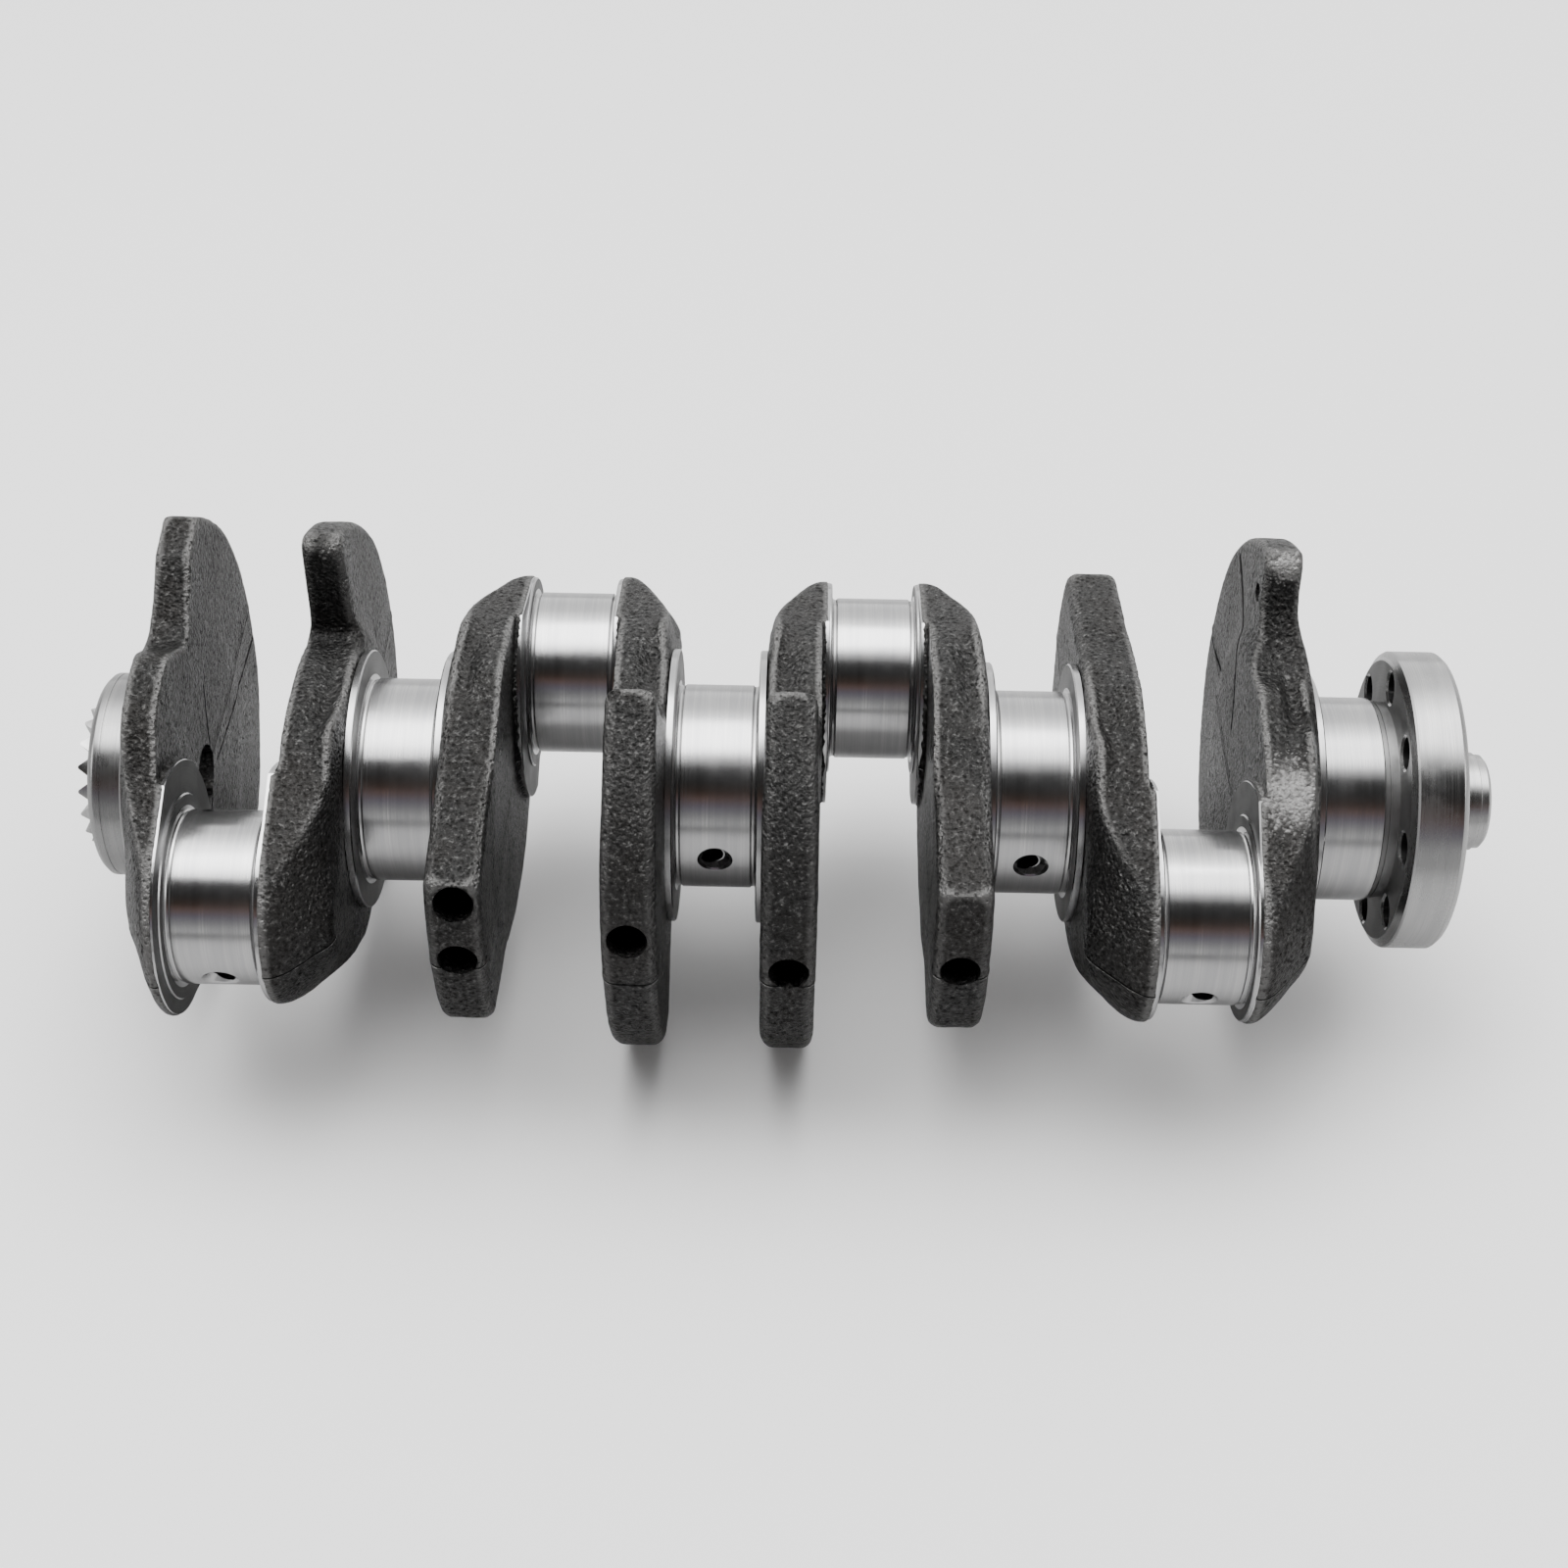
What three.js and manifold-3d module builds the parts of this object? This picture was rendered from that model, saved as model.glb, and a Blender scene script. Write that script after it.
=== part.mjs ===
// Crankshaft of an inline four-cylinder engine, in millimetres.
// +X runs along the main axis towards the flywheel flange, the throws lie in the XY plane,
// and the origin is on the main axis, halfway along the shaft's length.
import * as THREE from 'three';
import { mergeVertices } from 'three/addons/utils/BufferGeometryUtils.js';
import Module from 'manifold-3d';

const wasm = await Module();
wasm.setup();

// ---------- driving dimensions ----------
const BORE_PITCH = 88;            // from one crankpin to the next
const THROW = 46.4;               // main axis to crankpin axis, half the piston stroke
const MAIN_DIA = 58;
const PIN_DIA = 47.8;

const MAIN_GROUND = 18.4;         // ground width of an inner main journal
const THRUST_GROUND = 19.2;       // the middle main also locates the shaft endways
const MAIN_UNDERCUT = 1.8;        // rolled fillet groove on each side of a journal
const MAIN_COLLAR_DIA = MAIN_DIA + 16;   // machined collar beside an inner main
const THRUST_COLLAR_DIA = MAIN_DIA + 20; // and beside the thrust main
const MAIN_COLLAR = 2;            // how far the collar stands proud of the forged web

const PIN_GROUND = 21;
const PIN_UNDERCUT = 1.7;
const PIN_SHOULDER_DIA = PIN_DIA + 8.8;  // shoulder that guides the connecting rod
const PIN_SHOULDER = 0.8;
const CHEEK_DIA = PIN_DIA + 27.2;        // cheek milled round the pin, trimmed by the web
const CHEEK = 1.8;
const GROOVE_DEPTH = 0.5;         // undercut below the ground surface

const FRONT_ARM = 13.4;           // first web at its hub, from crankpin cheek to main collar
const REAR_ARM = 17.7;            // last web at its hub
const PIN_END = 29;               // radius of an inner web's round end, on the pin side
const WEB_EDGE = 2.2;             // rounding of the forged edges

const FRONT_END = 13.4;           // first main, from its hub face to the front face
const FRONT_CHAMFER = 1.5;
const FACE_TEETH = 18;            // face serration on the front end
const TOOTH_HEIGHT = 3.8;
const TOOTH_BASE = 1;             // ring that the teeth stand on
const TOOTH_RING_IN = 23;         // inner and outer diameter of the serration
const TOOTH_RING_OUT = 40;
const FRONT_BORE = TOOTH_RING_IN - 5;    // bolt bore through the first main and web

const REAR_GROUND = 16.1;         // ground width of the last main
const FLANGE_DIA = 84.8;
const FLANGE = 15.4;
const FLANGE_NECK = 4.2;          // relief between the last main and the flange
const FLANGE_BOLTS = 8;
const FLANGE_BOLT_HOLE = 9;
const FLANGE_BOLT_CIRCLE = FLANGE_DIA - 16.8;
const CONE_DIA = 41;              // centring cone and spigot behind the flange
const CONE = 4;
const SPIGOT_DIA = 28;
const SPIGOT = 10;
const SPIGOT_BORE = 15;           // pilot bore for the gearbox shaft
const PILOT_DEPTH = 20;

const OIL_HOLE = 6;
const OIL_MOUTH = OIL_HOLE + 2.4; // countersunk mouth of an oil drilling
const PIN_OIL_ANGLE = 20;         // mouth of a pin's drilling, off the throw line, degrees
const BALANCE_HOLE = 10.8;
const BALANCE_DEPTH = 16;
const TIMING_HOLE = 5;            // small blind hole in the last web
const TIMING_DEPTH = 5;
const TIMING_AT = [19, 62];       // its place on the fan's pin side, Y and Z

const ROUND = 32;                 // facets round a turned piece

// ---------- stations along the main axis ----------
const mainR = MAIN_DIA / 2;
const pinR = PIN_DIA / 2;
const collarGap = MAIN_GROUND / 2 + MAIN_UNDERCUT;     // main centre to its collar face
const thrustGap = THRUST_GROUND / 2 + MAIN_UNDERCUT;
const shoulderGap = PIN_GROUND / 2 + PIN_UNDERCUT;     // pin centre to its shoulder face
const pinHalf = shoulderGap + PIN_SHOULDER + CHEEK;    // pin centre to the forged web
const rawMain = (k) => (k - 3) * BORE_PITCH;           // mains 1 to 5
const rawPin = (k) => (k - 2.5) * BORE_PITCH;          // pins 1 to 4
const mainHalf = (k) => MAIN_COLLAR + (k === 3 ? thrustGap : collarGap);

const rawWeb1 = rawPin(1) - pinHalf - FRONT_ARM;       // hub face of the first web
const rawFront = rawWeb1 - FRONT_END;
const rawWeb8 = rawPin(4) + pinHalf + REAR_ARM;        // hub face of the last web
const rawFlange = rawWeb8 + MAIN_COLLAR + MAIN_UNDERCUT + REAR_GROUND + FLANGE_NECK;
const rawRear = rawFlange + FLANGE + CONE + SPIGOT;
const middle = (rawFront - TOOTH_BASE - TOOTH_HEIGHT + rawRear) / 2;

const mainX = (k) => rawMain(k) - middle;
const pinX = (k) => rawPin(k) - middle;
const pinSide = (k) => (k === 1 || k === 4 ? -1 : 1);  // which way along Y a pin is thrown
const frontX = rawFront - middle;
const web1X = rawWeb1 - middle;
const web8X = rawWeb8 - middle;
const flangeX = rawFlange - middle;
const rearX = rawRear - middle;

// ---------- finishes ----------
const ground = { color: 0xc9cacb, roughness: 0.22, metalness: 1 };
const turned = { color: 0xb4b5b6, roughness: 0.38, metalness: 1 };
const forged = { color: 0x5c5a57, roughness: 0.62, metalness: 0.85 };

// ---------- solids ----------
function solidOf(geometry) {
  const g = geometry.clone();
  g.deleteAttribute('normal');
  g.deleteAttribute('uv');
  const m = mergeVertices(g, 1e-4);
  return new wasm.Manifold(new wasm.Mesh({
    numProp: 3,
    vertProperties: new Float32Array(m.attributes.position.array),
    triVerts: new Uint32Array(m.index.array),
  }));
}

function geometryOf(solid) {
  const mesh = solid.getMesh();
  const g = new THREE.BufferGeometry();
  g.setAttribute('position', new THREE.BufferAttribute(mesh.vertProperties, 3));
  g.setIndex(new THREE.BufferAttribute(mesh.triVerts, 1));
  g.computeVertexNormals();
  return g;
}

// a solid of revolution about the line y = cy, z = 0, from [x, radius] pairs
function turnedSolid(profile, cy = 0, facets = ROUND) {
  const points = profile.map(([x, r]) => new THREE.Vector2(r, x));
  const g = new THREE.LatheGeometry(points, facets);
  g.applyMatrix4(new THREE.Matrix4().set(0, 1, 0, 0, 1, 0, 0, cy, 0, 0, -1, 0, 0, 0, 0, 1));
  return solidOf(g);
}

// a round bar on the main axis between two stations, tapering from one diameter to the other
function bar(xa, xb, diaA, diaB = diaA, cy = 0) {
  const ends = [[xa, diaA / 2], [xb, diaB / 2]].sort((a, b) => a[0] - b[0]);
  return turnedSolid([[ends[0][0], 0], ...ends, [ends[1][0], 0]], cy);
}

// a round bar from a to b, used as a drill
function drill(a, b, dia, facets = 14, dia2 = dia) {
  const from = new THREE.Vector3(...a);
  const to = new THREE.Vector3(...b);
  const along = to.clone().sub(from);
  const g = new THREE.CylinderGeometry(dia2 / 2, dia / 2, along.length(), facets);
  const turn = new THREE.Quaternion();
  turn.setFromUnitVectors(new THREE.Vector3(0, 1, 0), along.clone().normalize());
  g.applyQuaternion(turn);
  const mid = from.add(to).multiplyScalar(0.5);
  g.translate(mid.x, mid.y, mid.z);
  return solidOf(g);
}

// moves every point of a closed outline inwards along its own normal
function inset(points, distance) {
  return points.map((here, i) => {
    const before = points.at(i - 1);
    const after = points[(i + 1) % points.length];
    const along = after.clone().sub(before).normalize();
    return new THREE.Vector2(here.x - along.y * distance, here.y + along.x * distance);
  });
}

// a solid through outlines with equal point counts, each given as { x, points } in YZ
function loft(sections) {
  const count = sections[0].points.length;
  const positions = sections.flatMap(({ x, points }) => points.flatMap((v) => [x, v.x, v.y]));
  const index = [];
  for (let s = 0; s + 1 < sections.length; s++) {
    for (let i = 0; i < count; i++) {
      const a = s * count + i;
      const b = s * count + (i + 1) % count;
      index.push(a, b, b + count, a, b + count, a + count);
    }
  }
  const last = (sections.length - 1) * count;
  for (const [a, b, c] of THREE.ShapeUtils.triangulateShape(sections[0].points, [])) {
    index.push(a, c, b);
  }
  for (const [a, b, c] of THREE.ShapeUtils.triangulateShape(sections.at(-1).points, [])) {
    index.push(last + a, last + b, last + c);
  }
  const g = new THREE.BufferGeometry();
  g.setAttribute('position', new THREE.Float32BufferAttribute(positions, 3));
  g.setIndex(index);
  return solidOf(g);
}

// a forged slab between two stations with rounded edges; outline(t) is its outline at
// the share t of the way from the first station to the second, and bends at the stops
function slab(outline, from, to, edge, bends = []) {
  const share = edge / Math.abs(to - from);
  const rounded = edge > 0 ? [0, share, 1 - share, 1] : [0, 1];
  const stops = [...new Set([...rounded, ...bends])].sort((a, b) => a - b);
  const sections = stops.map((t) => ({
    x: from + (to - from) * t,
    points: edge > 0 && (t === 0 || t === 1) ? inset(outline(t), edge * 0.8) : outline(t),
  }));
  if (to < from) {
    sections.reverse();
  }
  return loft(sections);
}

// ---------- web outlines ----------
// Half outlines in (p, q): p runs from the main axis towards the pin, q along Z, and
// corners are [p, q, rounding]. The arm joins hub and pin; the fan is the counterweight.
// inset and recess are how far the fan's faces lie back from the arm's, on the pin side
// and on the main side.
// taper is [start, end, drop]: between these shares of its length the arm's round end
// shrinks by drop. thickness is given where the arm stops short of the hub face.
const styles = {
  first: {
    hub: 40,
    end: PIN_END + 4,
    taper: [0.1, 0.9, 26],
    thickness: 10.8,
    arm: [[30, 42, 10], [2, 43, 10]],
    fan: [[42, 28, 6], [31, 50, 9], [9, 55, 9], [-11, 40, 8], [-30, 57.5, 3]],
    rim: 74,
    spread: 54,
    inset: 1.6,
    recess: 2,
  },
  straight: {
    hub: 38.5,
    end: PIN_END,
    taper: [0.12, 0.88, 11],
    arm: [[19, 41, 12], [2, 39, 8]],
    fan: [[8, 36, 0], [-14, 33, 6], [-22, 34, 6], [-23.5, 66, 4]],
    rim: 73.5,
    spread: 68,
    inset: 2.2,
    recess: 2.6,
  },
  tongue: {
    hub: 40,
    end: PIN_END,
    taper: [0.12, 0.88, 11],
    arm: [[20, 40, 12], [2, 42, 10]],
    fan: [[8, 37, 0], [-34, 34, 10], [-57, 29, 5]],
    rim: 70.5,
    spread: 23,
    inset: 0.4,
    recess: 0,
  },
  middle: {
    hub: 40,
    end: PIN_END,
    taper: [0.12, 0.88, 11],
    arm: [[20, 40, 12], [2, 41, 8]],
    fan: [[8, 37, 0], [-10, 38, 8], [-18, 46, 6], [-29, 64, 5]],
    rim: 74.5,
    spread: 65,
    inset: 0.5,
    recess: 0,
  },
  last: {
    hub: 41,
    end: PIN_END,
    taper: [0.24, 0.58, 14],
    thickness: 15.2,
    arm: [[26, 43, 10], [2, 46, 10]],
    fan: [[8, 37, 0], [-8, 41, 8], [-20, 52, 6], [-24, 66, 4]],
    rim: 74,
    spread: 68,
    inset: 0.7,
    recess: 3.4,
  },
};

// corners joined by straight runs, each corner rounded by a short curve
function roundedPath(points) {
  return points.flatMap(([p, q, r = 0], i) => {
    const here = new THREE.Vector2(p, q);
    if (r === 0) {
      return [here];
    }
    const a = new THREE.Vector2(...points.at(i - 1)).sub(here);
    const b = new THREE.Vector2(...points[(i + 1) % points.length]).sub(here);
    const cut = Math.min(r, a.length() * 0.49, b.length() * 0.49);
    const start = here.clone().add(a.setLength(cut));
    const end = here.clone().add(b.setLength(cut));
    return new THREE.QuadraticBezierCurve(start, here, end).getPoints(3);
  });
}

// points on an arc about (centre, 0), angles in degrees from the pin's side
function arc(centre, radius, fromDeg, toDeg, steps) {
  return Array.from({ length: steps + 1 }, (_, i) => {
    const t = THREE.MathUtils.degToRad(fromDeg + (toDeg - fromDeg) * i / steps);
    return [centre + radius * Math.cos(t), radius * Math.sin(t)];
  });
}

// closes a half outline over the p axis and turns it to the pin's side
function closed(half, side) {
  const onAxis = ([, q]) => Math.abs(q) < 1e-6;
  const mirror = half.filter((point) => !onAxis(point)).reverse().map(([p, q, r]) => [p, -q, r]);
  const path = roundedPath([...half, ...mirror]);
  const placed = path.map((v) => new THREE.Vector2(side * v.x, v.y));
  return side < 0 ? placed.reverse() : placed;
}

function armOutline(style, side, t) {
  const [start, stop, drop] = style.taper;
  const end = style.end - drop * THREE.MathUtils.clamp((t - start) / (stop - start), 0, 1);
  const half = [...arc(THROW, end, 0, 75, 5), ...style.arm, ...arc(0, style.hub, 100, 180, 4)];
  return closed(half, side);
}

function fanOutline(style, side) {
  const rim = arc(0, style.rim, 180 - style.spread, 180, 6);
  return closed([...style.fan, ...rim], side);
}

// ---------- main journals and crankpins ----------
// ground band, then a rolled groove, then the collar face, from one side to the other
function bearingEnd(x, dir, radius, undercut, collarR, collar, tail = []) {
  return [
    [x, radius],
    [x + dir * undercut * 0.35, radius - GROOVE_DEPTH],
    [x + dir * undercut * 0.75, radius - GROOVE_DEPTH * 0.4],
    [x + dir * undercut, radius + undercut * 0.6],
    [x + dir * undercut, collarR],
    [x + dir * (undercut + collar), collarR],
    ...tail,
  ];
}

function innerMain(k) {
  const x = mainX(k);
  const band = (k === 3 ? THRUST_GROUND : MAIN_GROUND) / 2;
  const collarR = (k === 3 ? THRUST_COLLAR_DIA : MAIN_COLLAR_DIA) / 2;
  const left = bearingEnd(x - band, -1, mainR, MAIN_UNDERCUT, collarR, MAIN_COLLAR);
  const right = bearingEnd(x + band, 1, mainR, MAIN_UNDERCUT, collarR, MAIN_COLLAR);
  const outline = [[left.at(-1)[0], 0], ...left.reverse(), ...right, [right.at(-1)[0], 0]];
  return turnedSolid(outline);
}

function frontMain() {
  const band = web1X - MAIN_COLLAR - MAIN_UNDERCUT;
  const right = bearingEnd(band, 1, mainR, MAIN_UNDERCUT, MAIN_COLLAR_DIA / 2, MAIN_COLLAR);
  return turnedSolid([
    [frontX, 0],
    [frontX, mainR - FRONT_CHAMFER],
    [frontX + FRONT_CHAMFER, mainR],
    ...right,
    [web1X, 0],
  ]).subtract(drill([frontX - 1, 0, 0], [web1X + 1, 0, 0], FRONT_BORE, 24));
}

function rearMain() {
  const band = web8X + MAIN_COLLAR + MAIN_UNDERCUT;
  const left = bearingEnd(band, -1, mainR, MAIN_UNDERCUT, MAIN_COLLAR_DIA / 2, MAIN_COLLAR);
  const neckX = band + REAR_GROUND;
  return turnedSolid([
    [web8X, 0],
    ...left.reverse(),
    [neckX, mainR],
    [neckX + MAIN_UNDERCUT * 0.5, mainR - GROOVE_DEPTH * 2],
    [flangeX, mainR - GROOVE_DEPTH * 2],
    [flangeX, 0],
  ]);
}

function crankpin(k) {
  const x = pinX(k);
  const end = (dir) => bearingEnd(
    x + dir * PIN_GROUND / 2, dir, pinR, PIN_UNDERCUT, PIN_SHOULDER_DIA / 2, PIN_SHOULDER,
    [
      [x + dir * (shoulderGap + PIN_SHOULDER), CHEEK_DIA / 2],
      [x + dir * pinHalf, CHEEK_DIA / 2],
    ],
  );
  const left = end(-1);
  const right = end(1);
  const outline = [[x - pinHalf, 0], ...left.reverse(), ...right, [x + pinHalf, 0]];
  return turnedSolid(outline, pinSide(k) * THROW);
}

// ---------- webs ----------
// each web joins a main to a pin
const webs = [
  { n: 1, style: styles.first, main: 1, pin: 1 },
  { n: 2, style: styles.straight, main: 2, pin: 1 },
  { n: 3, style: styles.tongue, main: 2, pin: 2 },
  { n: 4, style: styles.middle, main: 3, pin: 2 },
  { n: 5, style: styles.middle, main: 3, pin: 3 },
  { n: 6, style: styles.tongue, main: 4, pin: 3 },
  { n: 7, style: styles.tongue, main: 4, pin: 4 },
  { n: 8, style: styles.last, main: 5, pin: 4 },
];

// which way along X a web's main lies from its pin
const toMain = (web) => (web.pin < web.main ? 1 : -1);

function hubFace(web) {
  if (web.n === 1) {
    return web1X;
  }
  if (web.n === 8) {
    return web8X;
  }
  return mainX(web.main) - toMain(web) * mainHalf(web.main);
}

function fanFaces(web) {
  const dir = toMain(web);
  return [
    pinX(web.pin) + dir * (pinHalf + web.style.inset),
    hubFace(web) - dir * web.style.recess,
  ];
}

function webBody(web) {
  const side = pinSide(web.pin);
  const dir = toMain(web);
  const cheek = pinX(web.pin) + dir * pinHalf;
  const hub = hubFace(web);
  const { style } = web;
  const armEnd = style.thickness ? cheek + dir * style.thickness : hub;
  const outline = (t) => armOutline(style, side, t);
  const arm = slab(outline, cheek, armEnd, WEB_EDGE, style.taper.slice(0, 2));
  const fan = fanOutline(style, side);
  const body = arm.add(slab(() => fan, ...fanFaces(web), WEB_EDGE));
  if (!style.thickness) {
    return body;
  }
  return body.add(bar(armEnd - dir * WEB_EDGE, hub, 2 * style.hub + 2, 2 * style.hub - 1));
}

// ---------- drillings ----------
// each oil drilling runs straight from a main, through a web, to the pin's far side
const oilways = [
  { main: 2, web: 2, pin: 1 },
  { main: 3, web: 4, pin: 2 },
  { main: 4, web: 6, pin: 3 },
  { main: 5, web: 8, pin: 4 },
];

function oilTools({ main, pin }) {
  const side = pinSide(pin);
  const angle = THREE.MathUtils.degToRad(PIN_OIL_ANGLE);
  const mainMouth = new THREE.Vector3(mainX(main), -side * mainR, 0);
  const pinMouth = new THREE.Vector3(
    pinX(pin),
    side * (THROW + pinR * Math.cos(angle)),
    side * pinR * Math.sin(angle),
  );
  const along = pinMouth.clone().sub(mainMouth).normalize();
  const a = mainMouth.clone().addScaledVector(along, -8);
  const b = pinMouth.clone().addScaledVector(along, 8);
  const hole = drill(a.toArray(), b.toArray(), OIL_HOLE);
  const out = new THREE.Vector3(0, -side, 0);
  const up = new THREE.Vector3(0, side * Math.cos(angle), side * Math.sin(angle));
  const mouth = (at, dir) => drill(
    at.clone().addScaledVector(dir, -1.2).toArray(),
    at.clone().addScaledVector(dir, 1.2).toArray(),
    OIL_HOLE, 14, OIL_MOUTH + 2,
  );
  return { hole, mainMouth: mouth(mainMouth, out), pinMouth: mouth(pinMouth, up) };
}

// balance drillings in the rims: web, angle from the throw plane in degrees
const balance = [
  { web: 3, angle: 17.9 },
  { web: 3, angle: 2.6 },
  { web: 4, angle: 11.7 },
  { web: 5, angle: 4 },
  { web: 6, angle: 2.3 },
];

function balanceDrill({ web, angle }) {
  const w = webs[web - 1];
  const [near, far] = fanFaces(w);
  const x = (near + far) / 2;
  const t = THREE.MathUtils.degToRad(angle);
  const away = new THREE.Vector3(0, -pinSide(w.pin) * Math.cos(t), Math.sin(t));
  const from = away.clone().multiplyScalar(w.style.rim - BALANCE_DEPTH);
  const to = away.clone().multiplyScalar(w.style.rim + 3);
  from.x = x;
  to.x = x;
  return drill(from.toArray(), to.toArray(), BALANCE_HOLE, 18);
}

// ---------- front serration, flange and spigot ----------
// radial vee teeth on a ring, as a face coupling has
function serration() {
  const inner = TOOTH_RING_IN / 2;
  const outer = TOOTH_RING_OUT / 2;
  const root = frontX - TOOTH_BASE;
  const pitch = Math.PI / FACE_TEETH;
  let ring = turnedSolid([
    [frontX, inner],
    [root, inner],
    [root, outer],
    [frontX, outer],
    [frontX, inner],
  ], 0, FACE_TEETH * 2);
  for (let i = 0; i < FACE_TEETH; i++) {
    const a = 2 * i * pitch;
    const at = (r, t, x) => [x, r * Math.cos(t), r * Math.sin(t)];
    const foot = frontX - TOOTH_BASE / 2;
    const corners = [
      at(inner, a - pitch, foot),
      at(inner, a + pitch, foot),
      at(outer, a + pitch, foot),
      at(outer, a - pitch, foot),
      at(inner, a, root - TOOTH_HEIGHT * inner / outer),
      at(outer, a, root - TOOTH_HEIGHT),
    ];
    const faces = [0, 2, 1, 0, 3, 2, 0, 1, 4, 2, 3, 5, 1, 2, 5, 1, 5, 4, 3, 0, 4, 3, 4, 5];
    const g = new THREE.BufferGeometry();
    g.setAttribute('position', new THREE.Float32BufferAttribute(corners.flat(), 3));
    g.setIndex(faces);
    ring = ring.add(solidOf(g));
  }
  return ring;
}

const flangeRear = flangeX + FLANGE;
const spigotX = flangeRear + CONE;

function flange() {
  const rim = 1.2;
  let body = turnedSolid([
    [flangeX, 0],
    [flangeX, FLANGE_DIA / 2 - rim],
    [flangeX + rim, FLANGE_DIA / 2],
    [flangeRear - rim, FLANGE_DIA / 2],
    [flangeRear, FLANGE_DIA / 2 - rim],
    [flangeRear, 0],
  ], 0, 56).subtract(bar(flangeX - 1, flangeRear + 1, CONE_DIA));
  for (let i = 0; i < FLANGE_BOLTS; i++) {
    const t = (i + 0.5) * 2 * Math.PI / FLANGE_BOLTS;
    const y = FLANGE_BOLT_CIRCLE / 2 * Math.cos(t);
    const z = FLANGE_BOLT_CIRCLE / 2 * Math.sin(t);
    body = body.subtract(drill([flangeX - 1, y, z], [flangeRear + 1, y, z], FLANGE_BOLT_HOLE));
  }
  return body;
}

// the core of the flange, which stands out behind it as cone and spigot
function spigot() {
  return turnedSolid([
    [flangeX, 0],
    [flangeX, CONE_DIA / 2],
    [flangeRear, CONE_DIA / 2],
    [spigotX, SPIGOT_DIA / 2 + 1],
    [spigotX, SPIGOT_DIA / 2],
    [rearX - 1, SPIGOT_DIA / 2],
    [rearX, SPIGOT_DIA / 2 - 1],
    [rearX, 0],
  ]).subtract(drill([rearX - PILOT_DEPTH, 0, 0], [rearX + 1, 0, 0], SPIGOT_BORE, 20));
}

// ---------- the shaft ----------
const solids = new Map();
solids.set('front_serration', [serration(), turned]);
solids.set('main_journal_1', [frontMain(), ground]);
for (const k of [2, 3, 4]) {
  solids.set(`main_journal_${k}`, [innerMain(k), ground]);
}
solids.set('main_journal_5', [rearMain(), ground]);
for (const k of [1, 2, 3, 4]) {
  solids.set(`crankpin_${k}`, [crankpin(k), ground]);
}
for (const web of webs) {
  solids.set(`web_${web.n}`, [webBody(web), forged]);
}
solids.set('rear_flange', [flange(), turned]);
solids.set('pilot_spigot', [spigot(), turned]);

function cut(name, tool) {
  const [body, finish] = solids.get(name);
  solids.set(name, [body.subtract(tool), finish]);
}

for (const way of oilways) {
  const { hole, mainMouth, pinMouth } = oilTools(way);
  cut(`main_journal_${way.main}`, hole);
  cut(`main_journal_${way.main}`, mainMouth);
  cut(`web_${way.web}`, hole);
  cut(`crankpin_${way.pin}`, hole);
  cut(`crankpin_${way.pin}`, pinMouth);
}
for (const hole of balance) {
  cut(`web_${hole.web}`, balanceDrill(hole));
}
cut('web_1', drill([web1X - 1, 0, 0], [pinX(1), 0, 0], FRONT_BORE, 24));
const [lastFan] = fanFaces(webs[7]);
cut('web_8', drill([lastFan - 1, ...TIMING_AT], [lastFan + TIMING_DEPTH, ...TIMING_AT], TIMING_HOLE));

// the milled cheeks end where the webs end
for (const k of [1, 2, 3, 4]) {
  const [before, after] = webs.filter((w) => w.pin === k);
  const x = pinX(k);
  const keep = (web, x0, x1) => slab(() => armOutline(web.style, pinSide(k), 0), x0, x1, 0);
  const core = bar(x - pinHalf, x + pinHalf, PIN_SHOULDER_DIA, PIN_SHOULDER_DIA, pinSide(k) * THROW);
  const envelope = keep(before, x - pinHalf, x).add(keep(after, x, x + pinHalf)).add(core);
  const [body, finish] = solids.get(`crankpin_${k}`);
  solids.set(`crankpin_${k}`, [body.intersect(envelope), finish]);
}

const crankshaft = new THREE.Group();
crankshaft.name = 'crankshaft';
for (const [name, [solid, finish]] of solids) {
  const mesh = new THREE.Mesh(geometryOf(solid), new THREE.MeshStandardMaterial(finish));
  mesh.name = name;
  crankshaft.add(mesh);
}

export default crankshaft;
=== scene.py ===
# %% [markdown]
# A forged steel crankshaft for an inline four. One forging, machined where things touch it:
# ground journals and crankpins, turned ends, drilled oilways, and webs left as they came
# from the dies. The CAD model gives every station and size; this script gives it its skin.
# Everything is in the CAD frame: +X along the shaft towards the flange, +Z up, metres.

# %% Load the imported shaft
import math
import bpy
import numpy as np
from mathutils import Matrix, Vector, noise


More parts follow.
